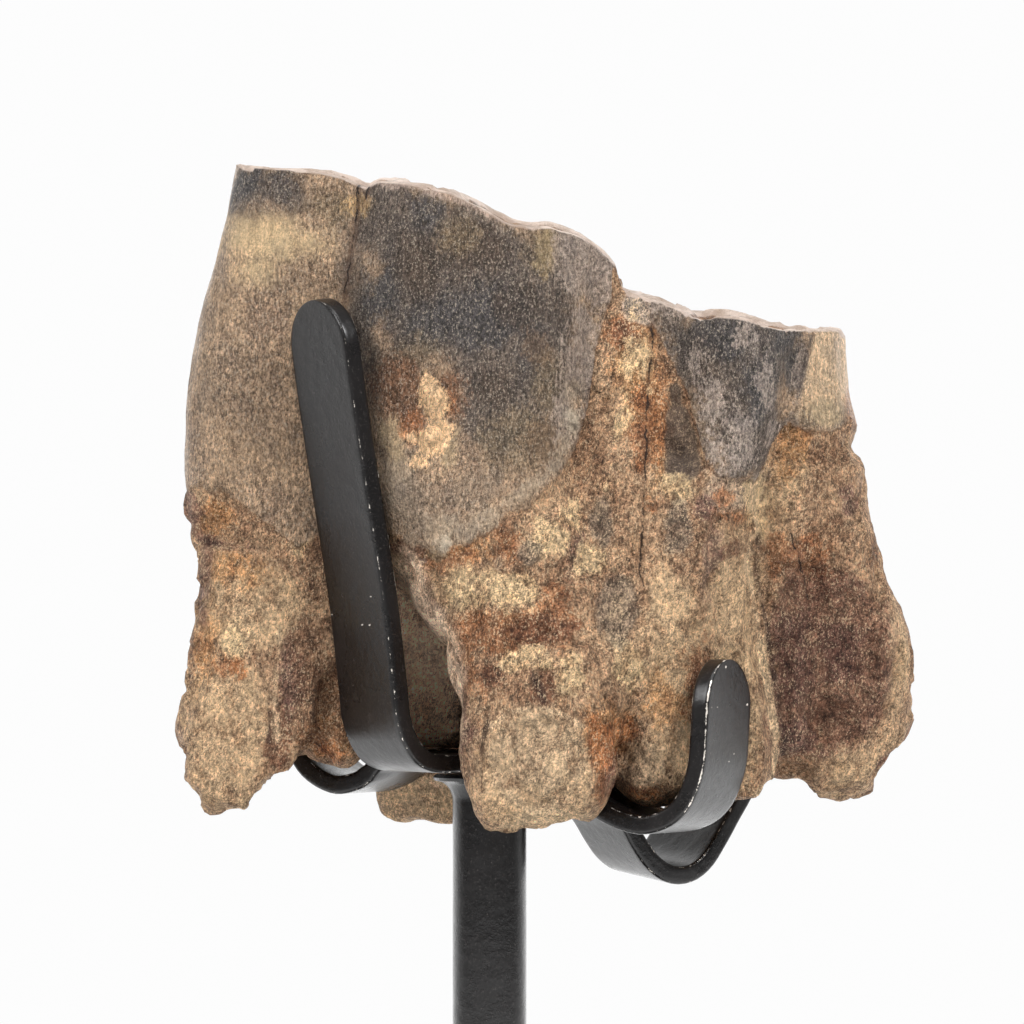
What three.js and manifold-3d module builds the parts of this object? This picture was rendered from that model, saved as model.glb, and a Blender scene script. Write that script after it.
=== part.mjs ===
// A fossil woolly rhinoceros cheek tooth resting in a bent steel cradle on a rod and a plain base.
// Millimetres, +Z up. The tooth's outer face looks along -Y, and +X is to its right.
// The origin is the centre of the base's underside, under the rod.

import * as THREE from 'three';
import { mergeVertices } from 'three/addons/utils/BufferGeometryUtils.js';
import { edgeTable, triTable } from 'three/addons/objects/MarchingCubes.js';
import Module from 'manifold-3d';

// ---- Driving dimensions ----

const BASE_SIDE = 76;
const BASE_THICKNESS = 8;
const BASE_CHAMFER = 0.6;
const BASE_CORNER_RADIUS = 2;
const ROD_DIAMETER = 6;
const ROD_HEIGHT = 72; // from the base's top to the cradle's underside
const ROD_SOCKET_DEPTH = 5;
const STRIP_WIDTH = 8;
const STRIP_THICKNESS = 1.5;
const STRIP_EDGE_CHAMFER = 0.15;
const STRIP_STEP = 1.9; // length of one facet along a strip
const LONG_STRIP_ANGLE = 35.5; // degrees from +X to the rear hook, seen from above
const SHORT_STRIP_ANGLE = -27.8; // degrees from +X to the front right hook
const FILLET_RADIUS = 4.6;
const FILLET_HEIGHT = 1.7;
const ROUND_SIDES = 36; // facets around the rod and its socket
const SEAT_GAP = 0.3; // between pieces that touch
const CRADLE_Z = BASE_THICKNESS + ROD_HEIGHT; // the underside of the strips at the rod
const ENAMEL_RELIEF = 0.45; // how far the enamel stands out from the root's surface
const ENAMEL_WIDTH = 1.5; // thickness of the enamel rim on the worn top
const WEAR_DISH = 0.9; // depth of the worn dentine inside the enamel rim
const COLUMN_BLEND = 1.3; // how far neighbouring lobes melt together
const TOOTH_CELL = new THREE.Vector3(1.74, 2.02, 1.83); // size of the tooth's surface facets
const TOOTH_LOW = new THREE.Vector3(-27.3, -16.2, -6.6);
const TOOTH_HIGH = new THREE.Vector3(36.6, 17.4, 51.2);

// ---- Small helpers ----

const clamp = THREE.MathUtils.clamp;
const smoothstep = THREE.MathUtils.smoothstep;
const lerp = THREE.MathUtils.lerp;

function radians(degrees) {
  return THREE.MathUtils.degToRad(degrees);
}

// Straight interpolation through points [at, value], held flat past both ends.
function along(points, at) {
  if (at <= points[0][0]) return points[0][1];
  for (let i = 1; i < points.length; i += 1) {
    const [a, valueA] = points[i - 1];
    const [b, valueB] = points[i];
    if (at <= b) return lerp(valueA, valueB, (at - a) / (b - a));
  }
  return points[points.length - 1][1];
}

function smoothMin(a, b, blend) {
  const h = Math.max(blend - Math.abs(a - b), 0) / blend;
  return Math.min(a, b) - h * h * blend * 0.25;
}

function smoothMax(a, b, blend) {
  return -smoothMin(-a, -b, blend);
}

// The edge between two surfaces, rounded with a radius.
function roundedMax(a, b, radius) {
  const outA = Math.max(a + radius, 0);
  const outB = Math.max(b + radius, 0);
  return Math.min(Math.max(a, b), -radius) + Math.hypot(outA, outB);
}

// ---- The tooth ----
// Heights are measured from the underside of the cradle strips.
// Each lobe of the crown runs down into its root as one column. A station gives the column's
// left and right limits in X, its front and back limits in Y, and its turn in degrees about Z.

const LEFT_COLUMN = {
  squareness: 3.2,
  bottom: -3.5,
  tip: 3.4,
  stations: [
    { z: -3.5, left: -24.6, right: -18.6, front: -3.6, back: 2.4, turn: 0 },
    { z: 0, left: -24.9, right: -16.2, front: -4.4, back: 3.4, turn: 0 },
    { z: 3, left: -25.2, right: -14.0, front: -4.5, back: 4.0, turn: 0 },
    { z: 6.5, left: -24.6, right: -13.2, front: -4.2, back: 4.3, turn: -2 },
    { z: 10, left: -24.1, right: -11.5, front: -4.0, back: 4.8, turn: -4 },
    { z: 14, left: -23.5, right: -9.5, front: -3.9, back: 6.6, turn: -7 },
    { z: 17, left: -23.9, right: -8.5, front: -3.9, back: 7.0, turn: -9 },
    { z: 22, left: -24.4, right: -7.0, front: -4.1, back: 7.8, turn: -11 },
    { z: 30, left: -24.1, right: -6.5, front: -4.8, back: 8.2, turn: -13 },
    { z: 35, left: -23.4, right: -6.5, front: -5.2, back: 8.0, turn: -13 },
    { z: 42, left: -21.6, right: -6.5, front: -5.6, back: 7.6, turn: -12 },
    { z: 50, left: -19.8, right: -6.5, front: -5.6, back: 7.2, turn: -10 },
  ],
};

const CENTRE_COLUMN = {
  squareness: 2.5,
  bottom: -4.7,
  tip: 3.6,
  stations: [
    { z: -4.7, left: -1.4, right: 9.0, front: -13.6, back: -6.4, turn: -10 },
    { z: 0, left: -2.1, right: 10.4, front: -14.4, back: -5.4, turn: -8 },
    { z: 6, left: -2.2, right: 11.2, front: -14.2, back: -2.6, turn: 0 },
    { z: 10, left: -3.2, right: 11.2, front: -13.4, back: 0, turn: 0 },
    { z: 14, left: -6.2, right: 11.4, front: -12.6, back: 5.5, turn: 0 },
    { z: 18, left: -9.6, right: 11.2, front: -11.9, back: 9.5, turn: 0 },
    { z: 24, left: -12.0, right: 9.6, front: -11.5, back: 11.2, turn: 0 },
    { z: 30, left: -12.8, right: 9.2, front: -11.2, back: 12.0, turn: 0 },
    { z: 38, left: -13.0, right: 10.2, front: -10.7, back: 11.8, turn: 0 },
    { z: 50, left: -12.6, right: 10.4, front: -9.8, back: 11.0, turn: 0 },
  ],
};

const FRONT_RIGHT_COLUMN = {
  squareness: 2.5,
  bottom: -2.7,
  tip: 3.2,
  stations: [
    { z: -2.7, left: 12.4, right: 20.8, front: -9.2, back: 6.0, turn: -27.8 },
    { z: 0, left: 10.4, right: 21.5, front: -10.2, back: 8.0, turn: -27.8 },
    { z: 4, left: 9.8, right: 21.6, front: -10.4, back: 8.6, turn: -27.8 },
    { z: 8, left: 10.2, right: 21.2, front: -10.5, back: 8.6, turn: -25 },
    { z: 14, left: 11.2, right: 21.0, front: -10.5, back: 9.0, turn: -16 },
    { z: 19, left: 11.4, right: 21.7, front: -10.3, back: 9.8, turn: -8 },
    { z: 24, left: 12.2, right: 22.6, front: -9.8, back: 10.6, turn: 0 },
    { z: 30, left: 13.9, right: 24.2, front: -9.4, back: 11.2, turn: 0 },
    { z: 36, left: 13.6, right: 25.4, front: -9.0, back: 11.2, turn: 0 },
  ],
};

const RIGHT_COLUMN = {
  squareness: 3.0,
  bottom: -2.4,
  tip: 2.8,
  stations: [
    { z: -2.3, left: 23.6, right: 32.4, front: 1.6, back: 9.4, turn: 0 },
    { z: 1, left: 22.0, right: 33.5, front: 0.6, back: 10.8, turn: 0 },
    { z: 4, left: 21.0, right: 34.5, front: -0.2, back: 11.2, turn: 0 },
    { z: 7, left: 20.6, right: 34.6, front: -1.0, back: 11.0, turn: 0 },
    { z: 11, left: 20.0, right: 34.0, front: -1.8, back: 10.4, turn: 0 },
    { z: 16.5, left: 19.5, right: 31.8, front: -2.8, back: 9.6, turn: 0 },
    { z: 21, left: 19.5, right: 30.7, front: -3.6, back: 9.0, turn: 0 },
    { z: 24.5, left: 19.5, right: 30.3, front: -3.9, back: 8.8, turn: 0 },
    { z: 26.2, left: 19.5, right: 29.2, front: -4.0, back: 8.6, turn: 0 },
    { z: 28, left: 19.5, right: 29.6, front: -4.1, back: 8.4, turn: 0 },
    { z: 31, left: 19.5, right: 29.0, front: -4.1, back: 8.2, turn: 0 },
    { z: 36, left: 19.5, right: 28.3, front: -4.2, back: 8.0, turn: 0 },
  ],
};

const REAR_LEFT_ROOT = {
  squareness: 2.8,
  bottom: -4.5,
  tip: 1.8,
  stations: [
    { z: -4.5, left: -8.9, right: 1.4, front: 9.0, back: 14.4, turn: 0 },
    { z: 0, left: -9.2, right: 3.0, front: 7.6, back: 15.4, turn: 0 },
    { z: 6, left: -9.6, right: 4.0, front: 4.5, back: 15.0, turn: 0 },
    { z: 14, left: -10.0, right: 5.0, front: 2.0, back: 13.4, turn: 0 },
    { z: 22, left: -9.0, right: 5.0, front: 0, back: 11.6, turn: 0 },
  ],
};

const REAR_RIGHT_ROOT = {
  squareness: 2.6,
  bottom: -1.9,
  tip: 3,
  stations: [
    { z: -1.9, left: 11.6, right: 19.0, front: 5.4, back: 12.0, turn: 0 },
    { z: 2, left: 10.6, right: 20.6, front: 4.0, back: 13.0, turn: 0 },
    { z: 8, left: 10.2, right: 21.4, front: 2.0, back: 13.2, turn: 0 },
    { z: 16, left: 10.0, right: 22.0, front: 0, back: 12.2, turn: 0 },
    { z: 24, left: 11.0, right: 22.0, front: 0, back: 11.0, turn: 0 },
  ],
};

// The cement that fills the groove between the two large lobes.
const GROOVE_CEMENT = {
  squareness: 3,
  bottom: 4,
  tip: 6,
  stations: [
    { z: 4, left: 7.0, right: 15.0, front: -10.4, back: 4, turn: 0 },
    { z: 12, left: 6.5, right: 16.5, front: -11.0, back: 4, turn: 0 },
    { z: 18, left: 6.5, right: 18.0, front: -10.6, back: 4, turn: 0 },
    { z: 24, left: 6.5, right: 18.5, front: -9.4, back: 5, turn: 0 },
    { z: 30, left: 6.5, right: 17.5, front: -8.2, back: 6, turn: 0 },
    { z: 38, left: 6.5, right: 16.0, front: -6.8, back: 7, turn: 0 },
  ],
};

// The body between the lobes and above the fork of the roots, as a rounded box.
const BODY = {
  bottom: 1.85,
  left: -13.6,
  right: 26,
  front: [[2, -1.7], [10, -2.2], [18, -4.2], [26, -5.0], [40, -4.6]],
  back: [[2, 7.6], [12, 8.6], [24, 9.2], [40, 8.8]],
  round: 1.6,
};

// Two deep valleys open to the back of the worn crown.
const VALLEYS = [
  { x: -5.4, mouth: 4.6, tip: 1.6, head: 1.5, floor: 21, lean: 0.16 },
  { x: 14.4, mouth: 3.6, tip: 1.4, head: 2.6, floor: 20, lean: -0.1 },
];

// The worn top, as seen from the front: [x, z].
const TOP_OUTLINE = [
  [-22, 50.2], [-20.4, 49.6], [-19.6, 49.2], [-16.2, 49.0], [-12.9, 48.6], [-10.9, 48.0],
  [-9.9, 47.5], [-8.9, 48.1], [-7.2, 48.0], [-4.8, 47.6], [-2.8, 47.0], [-1.1, 46.2],
  [0.5, 45.2], [1.7, 44.6], [3.3, 44.3], [4.8, 44.4], [6, 44.1], [7.2, 43.7],
  [8.4, 42.9], [9.4, 42.0], [10.3, 41.0], [10.5, 40.0], [10.8, 39.2], [12.2, 38.7],
  [13.8, 38.4], [14.8, 38.0], [15.9, 37.4], [17.1, 37.1], [18.3, 37.3], [19.9, 37.1],
  [21.6, 36.7], [23.2, 36.1], [26.8, 36.0], [29, 35.8],
];

// The lower border of the enamel on the outer face: [x, z]. There is none on the cement.
const NO_ENAMEL = 60;
const ENAMEL_BORDER = [
  [-25, 22.8], [-21.6, 22.7], [-18.4, 20.4], [-15.4, 18.4], [-8.5, 19.5], [-6, 18.4],
  [-3.6, 17.6], [-0.8, 19.1], [1.7, 20.7], [4.1, 22.3], [5.7, 24], [6.9, 26],
  [7.7, 28.4], [8.2, 31.7], [8.6, 34.5], [9.2, 36.5], [10, 38.6], [10.2, NO_ENAMEL],
  [12.6, NO_ENAMEL], [12.9, 36.5], [14.8, 32.5], [16.3, 30], [17.1, 27.6], [18, 24.4],
  [19.9, 23.6], [21.9, 24], [23.6, 25.5], [25.2, 27.8], [26.8, 27.4], [28.6, 28.2],
];
const REAR_ENAMEL_BORDER = [
  [-25, 22.8], [-17, 18], [-10, 20], [-4, 23], [3, 17.5], [9, 21], [14, 24], [19, 20.5],
  [25, 24], [30, 27],
];

function stationAt(stations, z) {
  const last = stations.length - 1;
  if (z <= stations[0].z) return stations[0];
  if (z >= stations[last].z) return stations[last];
  const i = stations.findIndex((station) => station.z > z);
  const a = stations[i - 1];
  const b = stations[i];
  const t = (z - a.z) / (b.z - a.z);
  const mixed = {};
  for (const key of Object.keys(a)) mixed[key] = lerp(a[key], b[key], t);
  return mixed;
}

// Signed distance from a column with a superellipse section and a rounded lower end.
function columnField(column, x, y, z) {
  const s = stationAt(column.stations, z);
  const halfX = (s.right - s.left) / 2;
  const halfY = (s.back - s.front) / 2;
  const angle = radians(s.turn);
  const dx = x - (s.left + s.right) / 2;
  const dy = y - (s.front + s.back) / 2;
  const u = (dx * Math.cos(angle) + dy * Math.sin(angle)) / halfX;
  const v = (dy * Math.cos(angle) - dx * Math.sin(angle)) / halfY;
  const n = column.squareness;
  const powU = Math.pow(Math.abs(u) + 1e-6, n - 1);
  const powV = Math.pow(Math.abs(v) + 1e-6, n - 1);
  const rho = Math.pow(powU * Math.abs(u) + powV * Math.abs(v) + 1e-9, 1 / n);
  const slope = Math.pow(rho, 1 - n) * Math.hypot(powU / halfX, powV / halfY);
  const side = (rho - 1) / Math.max(slope, 0.6 / Math.max(halfX, halfY));
  return roundedMax(side, column.bottom - z, column.tip);
}

function bodyField(x, y, z) {
  const front = along(BODY.front, z);
  const back = along(BODY.back, z);
  const sideX = Math.max(BODY.left - x, x - BODY.right);
  const sideY = Math.max(front - y, y - back);
  return roundedMax(roundedMax(sideX, sideY, BODY.round), BODY.bottom - z, BODY.round);
}

// Distance into a valley: negative in its open space, which widens to the back and to the top.
function valleyField(valley, x, y, z) {
  const rise = smoothstep(z, valley.floor, 50);
  const head = lerp(valley.head + 4, valley.head, rise);
  const middle = valley.x + valley.lean * (y - valley.head);
  const reach = clamp((y - head) / (12 - head), 0, 1);
  const half = lerp(valley.tip, valley.mouth, reach) * lerp(0.35, 0.62, rise);
  const sides = Math.abs(x - middle) - half;
  return roundedMax(roundedMax(sides, head - y, 1), valley.floor - z, 1.5);
}

// Low lumps and hollows of the worn and weathered surface.
function lumps(x, y, z) {
  const broad = Math.sin(0.41 * x + 0.3) * Math.sin(0.36 * z + 1.1) * Math.cos(0.33 * y);
  const small = Math.sin(0.95 * x + 0.25 * z) * Math.sin(0.83 * z - 0.31 * x + 0.7 * y);
  const low = 1 - smoothstep(z, 14, 26);
  return 0.16 * broad + (0.05 + 0.2 * low) * small;
}

function enamelAbove(x, y, z) {
  const front = along(ENAMEL_BORDER, x);
  const border = lerp(front, along(REAR_ENAMEL_BORDER, x), smoothstep(y, -1, 3));
  return smoothstep(z - border, -0.5, 0.5);
}

const COLUMNS = [
  LEFT_COLUMN,
  CENTRE_COLUMN,
  FRONT_RIGHT_COLUMN,
  RIGHT_COLUMN,
  REAR_LEFT_ROOT,
  REAR_RIGHT_ROOT,
  GROOVE_CEMENT,
];

// The tooth stays on the inner side of each strip's bend. Distance into the room that a strip
// and everything behind it takes: negative where no tooth may be.
function stripRoom({ path, angle, leftTop, rightTop, from }, x, y, z) {
  const cos = Math.cos(radians(angle));
  const sin = Math.sin(radians(angle));
  const reach = x * cos + y * sin;
  const offset = Math.abs(y * cos - x * sin);
  let nearest = Infinity;
  let inward = 1;
  for (let i = 1; i < path.length; i += 1) {
    const [reachA, heightA] = path[i - 1];
    const run = path[i][0] - reachA;
    const climb = path[i][1] - heightA;
    const t = clamp(((reach - reachA) * run + (z - heightA) * climb) / (run * run + climb * climb), 0, 1);
    const away = Math.hypot(reach - reachA - t * run, z - heightA - t * climb);
    if (away < nearest) {
      nearest = away;
      inward = Math.sign(run * (z - heightA) - climb * (reach - reachA)) || 1;
    }
  }
  const depth = inward * nearest - STRIP_THICKNESS - SEAT_GAP;
  const beside = 2 * Math.max(0, offset - STRIP_WIDTH / 2 - SEAT_GAP);
  const top = reach < 0 ? leftTop : rightTop;
  return Math.max(depth + beside, z - top, from - reach);
}

function rodRoom(x, y, z) {
  const radius = lerp(ROD_DIAMETER / 2, FILLET_RADIUS, smoothstep(z, -FILLET_HEIGHT - 1, -0.8));
  return Math.max(Math.hypot(x, y) - radius - 2 * SEAT_GAP, z);
}

function toothField(x, y, z) {
  let side = bodyField(x, y, z);
  for (const column of COLUMNS) {
    side = smoothMin(side, columnField(column, x, y, z), COLUMN_BLEND);
  }
  side -= ENAMEL_RELIEF * enamelAbove(x, y, z);
  side += lumps(x, y, z);
  for (const valley of VALLEYS) {
    side = smoothMax(side, -valleyField(valley, x, y, z), 0.6);
  }
  for (const strip of [LONG_STRIP, FRONT_RIGHT_STRIP, REAR_LEFT_STRIP]) {
    side = smoothMax(side, -stripRoom(strip, x, y, z), 0.4);
  }
  side = Math.max(side, -rodRoom(x, y, z));
  const dish = WEAR_DISH * smoothstep(-side, ENAMEL_WIDTH * 0.6, ENAMEL_WIDTH * 1.8);
  const tilt = 0.055 * clamp(y, -10, 11);
  const top = z - (along(TOP_OUTLINE, x) - 0.1 + tilt - dish);
  return roundedMax(side, top, 0.6);
}

// A closed triangle mesh of the surface where field() is zero, one cube cell at a time.
function polygonize(field, low, high, cell) {
  const nx = Math.round((high.x - low.x) / cell.x);
  const ny = Math.round((high.y - low.y) / cell.y);
  const nz = Math.round((high.z - low.z) / cell.z);
  const index = (i, j, k) => i + (nx + 1) * (j + (ny + 1) * k);
  const place = (i, j, k) =>
    new THREE.Vector3(low.x + i * cell.x, low.y + j * cell.y, low.z + k * cell.z);
  const values = new Float32Array((nx + 1) * (ny + 1) * (nz + 1));
  for (let k = 0; k <= nz; k += 1) {
    for (let j = 0; j <= ny; j += 1) {
      for (let i = 0; i <= nx; i += 1) {
        const p = place(i, j, k);
        values[index(i, j, k)] = field(p.x, p.y, p.z);
      }
    }
  }
  const corners = [
    [0, 0, 0], [1, 0, 0], [1, 1, 0], [0, 1, 0],
    [0, 0, 1], [1, 0, 1], [1, 1, 1], [0, 1, 1],
  ];
  const edges = [
    [0, 1], [1, 2], [2, 3], [3, 0], [4, 5], [5, 6],
    [6, 7], [7, 4], [0, 4], [1, 5], [2, 6], [3, 7],
  ];
  const made = new Map();
  const positions = [];
  const triangles = [];
  function crossing(a, b) {
    const ia = index(...a);
    const ib = index(...b);
    const key = ia < ib ? `${ia}_${ib}` : `${ib}_${ia}`;
    if (!made.has(key)) {
      const t = clamp(values[ia] / (values[ia] - values[ib]), 0.06, 0.94);
      made.set(key, positions.length / 3);
      positions.push(...place(...a).lerp(place(...b), t).toArray());
    }
    return made.get(key);
  }
  for (let k = 0; k < nz; k += 1) {
    for (let j = 0; j < ny; j += 1) {
      for (let i = 0; i < nx; i += 1) {
        const at = corners.map(([a, b, c]) => [i + a, j + b, k + c]);
        let code = 0;
        at.forEach((corner, n) => {
          if (values[index(...corner)] < 0) code |= 1 << n;
        });
        if (!edgeTable[code]) continue;
        for (let t = 0; triTable[code * 16 + t] !== -1; t += 3) {
          for (const turn of [2, 1, 0]) {
            const [a, b] = edges[triTable[code * 16 + t + turn]];
            triangles.push(crossing(at[a], at[b]));
          }
        }
      }
    }
  }
  const geometry = new THREE.BufferGeometry();
  geometry.setAttribute('position', new THREE.Float32BufferAttribute(positions, 3));
  geometry.setIndex(triangles);
  return geometry;
}

// ---- The cradle strips ----
// A strip's path is its underside in the plane of its bend: [reach from the rod's axis, height].

const LONG_STRIP_PATH = [
  [-17.35, 37.9], [-16.95, 34.9], [-16.2, 30.1], [-14.7, 21.9], [-13.2, 13.8], [-12.2, 6.5],
  [-11.95, 4.4], [-11.2, 2.4], [-9.9, 0.8], [-8.4, 0.12], [-7.2, 0], [4.3, 0],
  [6.4, -0.9], [8.4, -2.2], [10.6, -4.3], [12, -6.3], [13.3, -7.8], [14.8, -8.8],
  [16.4, -9.15], [18, -8.85], [19.4, -7.95], [20.9, -6.1], [22.2, -4.2], [23.4, -2.5],
  [24.8, 0], [25.8, 2.4], [26.4, 4.8], [26.6, 7.4],
];
const FRONT_RIGHT_PATH = [
  [4.7, 0], [6.6, -0.5], [8.6, -1.6], [10.4, -2.9], [11.9, -3.7], [13.7, -4.45],
  [15.6, -4.8], [17.1, -4.6], [18.7, -3.9], [19.9, -2.8], [20.8, -1.2], [21.35, 0.6],
  [21.6, 3.3], [21.75, 6], [21.75, 9.2],
];
const REAR_LEFT_PATH = [
  [4.7, 0], [7.1, -0.05], [8.2, -0.6], [9.4, -1.3], [10.9, -1.85], [12.2, -2],
  [13.4, -1.7], [14.6, -1.1], [15.6, -0.3], [16.3, 0.7], [16.7, 2], [16.9, 4], [17.1, 8.5],
];

// One closed solid through rings of equal size, with flat ends.
function loft(rings) {
  const size = rings[0].length;
  const positions = rings.flat().flatMap((p) => p.toArray());
  const triangles = [];
  for (let r = 0; r < rings.length - 1; r += 1) {
    for (let i = 0; i < size; i += 1) {
      const a = r * size + i;
      const b = r * size + ((i + 1) % size);
      triangles.push(a, b, b + size, a, b + size, a + size);
    }
  }
  const last = (rings.length - 1) * size;
  for (let i = 1; i < size - 1; i += 1) {
    triangles.push(0, i + 1, i);
    triangles.push(last, last + i, last + i + 1);
  }
  const geometry = new THREE.BufferGeometry();
  geometry.setAttribute('position', new THREE.Float32BufferAttribute(positions, 3));
  geometry.setIndex(triangles);
  return geometry;
}

// A flat bar bent along a path. roundStart and roundEnd give it a half-round end there.
// startSkew slants a plain start to meet the side of another bar. twist turns the bar's
// section about its own length between two reaches.
function stripGeometry({ path, angle, roundStart, roundEnd, startSkew = 0, twist = null, grow = 0 }) {
  const out = new THREE.Vector3(Math.cos(radians(angle)), Math.sin(radians(angle)), 0);
  const across = new THREE.Vector3(-out.y, out.x, 0);
  const halfWidth = STRIP_WIDTH / 2;
  const halfThick = STRIP_THICKNESS / 2;
  const flat = path.map(([reach, height]) => new THREE.Vector3(reach, height, 0));
  const curve = new THREE.CatmullRomCurve3(flat, false, 'centripetal');
  const length = curve.getLength();
  const steps = Math.round(length / STRIP_STEP);
  const marks = [];
  for (let i = 0; i <= steps; i += 1) marks.push((i / steps) * length);
  const endMarks = [0.03, 0.12, 0.3, 0.6, 1].map((share) => share * halfWidth);
  const inner = marks.filter(
    (mark) =>
      !(roundStart && mark < halfWidth * 1.1) && !(roundEnd && mark > length - halfWidth * 1.1),
  );
  const all = [
    ...(roundStart ? endMarks : []),
    ...inner,
    ...(roundEnd ? endMarks.map((mark) => length - mark).reverse() : []),
  ];
  const rings = all.map((mark) => {
    const t = clamp(mark / length, 0, 1);
    const point = curve.getPointAt(t);
    const tangent = curve.getTangentAt(t);
    const fromEnd = Math.min(roundStart ? mark : Infinity, roundEnd ? length - mark : Infinity);
    const shrink = fromEnd < halfWidth ? Math.sqrt(1 - (1 - fromEnd / halfWidth) ** 2) : 1;
    const half = halfWidth * shrink + grow;
    const thick = halfThick + grow;
    const chamfer = Math.min(STRIP_EDGE_CHAMFER, half * 0.4);
    const lean = twist ? radians(twist.degrees) * smoothstep(point.x, twist.from, twist.to) : 0;
    const along3 = out.clone().multiplyScalar(tangent.x).setZ(tangent.y);
    const up3 = out.clone().multiplyScalar(-tangent.y).setZ(tangent.x);
    const side = across.clone().multiplyScalar(Math.cos(lean)).addScaledVector(up3, Math.sin(lean));
    const normal = up3.clone().multiplyScalar(Math.cos(lean)).addScaledVector(across, -Math.sin(lean));
    const centre = out.clone().multiplyScalar(point.x).setZ(point.y).addScaledVector(up3, halfThick);
    const skew = startSkew * Math.max(0, 1 - mark / (2 * halfWidth));
    const section = [
      [-half + chamfer, -thick], [half - chamfer, -thick], [half, -thick + chamfer],
      [half, thick - chamfer], [half - chamfer, thick], [-half + chamfer, thick],
      [-half, thick - chamfer], [-half, -thick + chamfer],
    ];
    return section.map(([w, n]) =>
      centre.clone().addScaledVector(side, w).addScaledVector(normal, n).addScaledVector(along3, skew * w),
    );
  });
  return loft(rings);
}

// The short strips butt against the long strip's sides, so their ends are slanted to it.
const CROSSING = radians(LONG_STRIP_ANGLE - SHORT_STRIP_ANGLE);
const SHORT_SKEW = 1 / Math.tan(CROSSING);
const SHORT_START = (STRIP_WIDTH / 2 + SEAT_GAP) / Math.sin(CROSSING);

function shortPath(path) {
  return [[SHORT_START, 0], ...path.slice(1)];
}

const LONG_STRIP = {
  path: LONG_STRIP_PATH,
  angle: LONG_STRIP_ANGLE,
  roundStart: true,
  roundEnd: true,
  twist: { degrees: 6, from: 7, to: 12 },
  leftTop: 38.4,
  rightTop: 8,
  from: -30,
};
const FRONT_RIGHT_STRIP = {
  path: shortPath(FRONT_RIGHT_PATH),
  angle: SHORT_STRIP_ANGLE,
  roundStart: false,
  roundEnd: true,
  startSkew: SHORT_SKEW,
  leftTop: 0,
  rightTop: 9.7,
  from: 2,
};
const REAR_LEFT_STRIP = {
  path: shortPath(REAR_LEFT_PATH),
  angle: SHORT_STRIP_ANGLE + 180,
  roundStart: false,
  roundEnd: true,
  startSkew: SHORT_SKEW,
  leftTop: 0,
  rightTop: 9,
  from: 2,
};

// ---- Rod and base ----

function rodGeometry() {
  const radius = ROD_DIAMETER / 2;
  const top = ROD_HEIGHT - SEAT_GAP;
  const profile = [[0, SEAT_GAP - ROD_SOCKET_DEPTH], [radius, SEAT_GAP - ROD_SOCKET_DEPTH]];
  profile.push([radius, top - FILLET_HEIGHT]);
  for (let i = 1; i <= 4; i += 1) {
    const t = i / 4;
    profile.push([lerp(radius, FILLET_RADIUS, t), top - FILLET_HEIGHT * (1 - t) ** 0.8]);
  }
  profile.push([0, top]);
  const points = profile.map(([r, height]) => new THREE.Vector2(r, height));
  const geometry = new THREE.LatheGeometry(points, ROUND_SIDES);
  return geometry.rotateX(Math.PI / 2);
}

function baseOutline() {
  const half = BASE_SIDE / 2 - BASE_CHAMFER;
  const r = BASE_CORNER_RADIUS;
  const outline = new THREE.Shape();
  outline.moveTo(-half + r, -half);
  outline.lineTo(half - r, -half);
  outline.absarc(half - r, -half + r, r, -Math.PI / 2, 0);
  outline.lineTo(half, half - r);
  outline.absarc(half - r, half - r, r, 0, Math.PI / 2);
  outline.lineTo(-half + r, half);
  outline.absarc(-half + r, half - r, r, Math.PI / 2, Math.PI);
  outline.lineTo(-half, -half + r);
  outline.absarc(-half + r, -half + r, r, Math.PI, 1.5 * Math.PI);
  return outline;
}

function plateGeometry() {
  const geometry = new THREE.ExtrudeGeometry(baseOutline(), {
    depth: BASE_THICKNESS - 2 * BASE_CHAMFER,
    bevelEnabled: true,
    bevelThickness: BASE_CHAMFER,
    bevelSize: BASE_CHAMFER,
    bevelSegments: 1,
    curveSegments: 6,
  });
  return geometry.translate(0, 0, BASE_CHAMFER);
}

function socketGeometry() {
  const depth = ROD_SOCKET_DEPTH + 2;
  const geometry = new THREE.CylinderGeometry(
    ROD_DIAMETER / 2 + SEAT_GAP,
    ROD_DIAMETER / 2 + SEAT_GAP,
    depth,
    ROUND_SIDES,
  );
  return geometry
    .rotateX(Math.PI / 2)
    .translate(0, 0, BASE_THICKNESS - ROD_SOCKET_DEPTH + depth / 2);
}

// ---- Solids cut by one another ----

const wasm = await Module();
wasm.setup();

function solid(geometry) {
  const bare = geometry.clone();
  bare.deleteAttribute('normal');
  bare.deleteAttribute('uv');
  const merged = mergeVertices(bare, 1e-3);
  return new wasm.Manifold(
    new wasm.Mesh({
      numProp: 3,
      vertProperties: new Float32Array(merged.attributes.position.array),
      triVerts: new Uint32Array(merged.index.array),
    }),
  );
}

function geometryOf(made) {
  const mesh = made.getMesh();
  const geometry = new THREE.BufferGeometry();
  geometry.setAttribute('position', new THREE.BufferAttribute(mesh.vertProperties, mesh.numProp));
  geometry.setIndex(new THREE.BufferAttribute(mesh.triVerts, 1));
  geometry.computeVertexNormals();
  return geometry;
}

function toothGeometry() {
  let tooth = solid(polygonize(toothField, TOOTH_LOW, TOOTH_HIGH, TOOTH_CELL));
  for (const strip of [LONG_STRIP, FRONT_RIGHT_STRIP, REAR_LEFT_STRIP]) {
    tooth = tooth.subtract(solid(stripGeometry({ ...strip, grow: SEAT_GAP })));
  }
  return geometryOf(tooth);
}

function baseGeometry() {
  return geometryOf(solid(plateGeometry()).subtract(solid(socketGeometry())));
}

// ---- The scene graph ----

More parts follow.
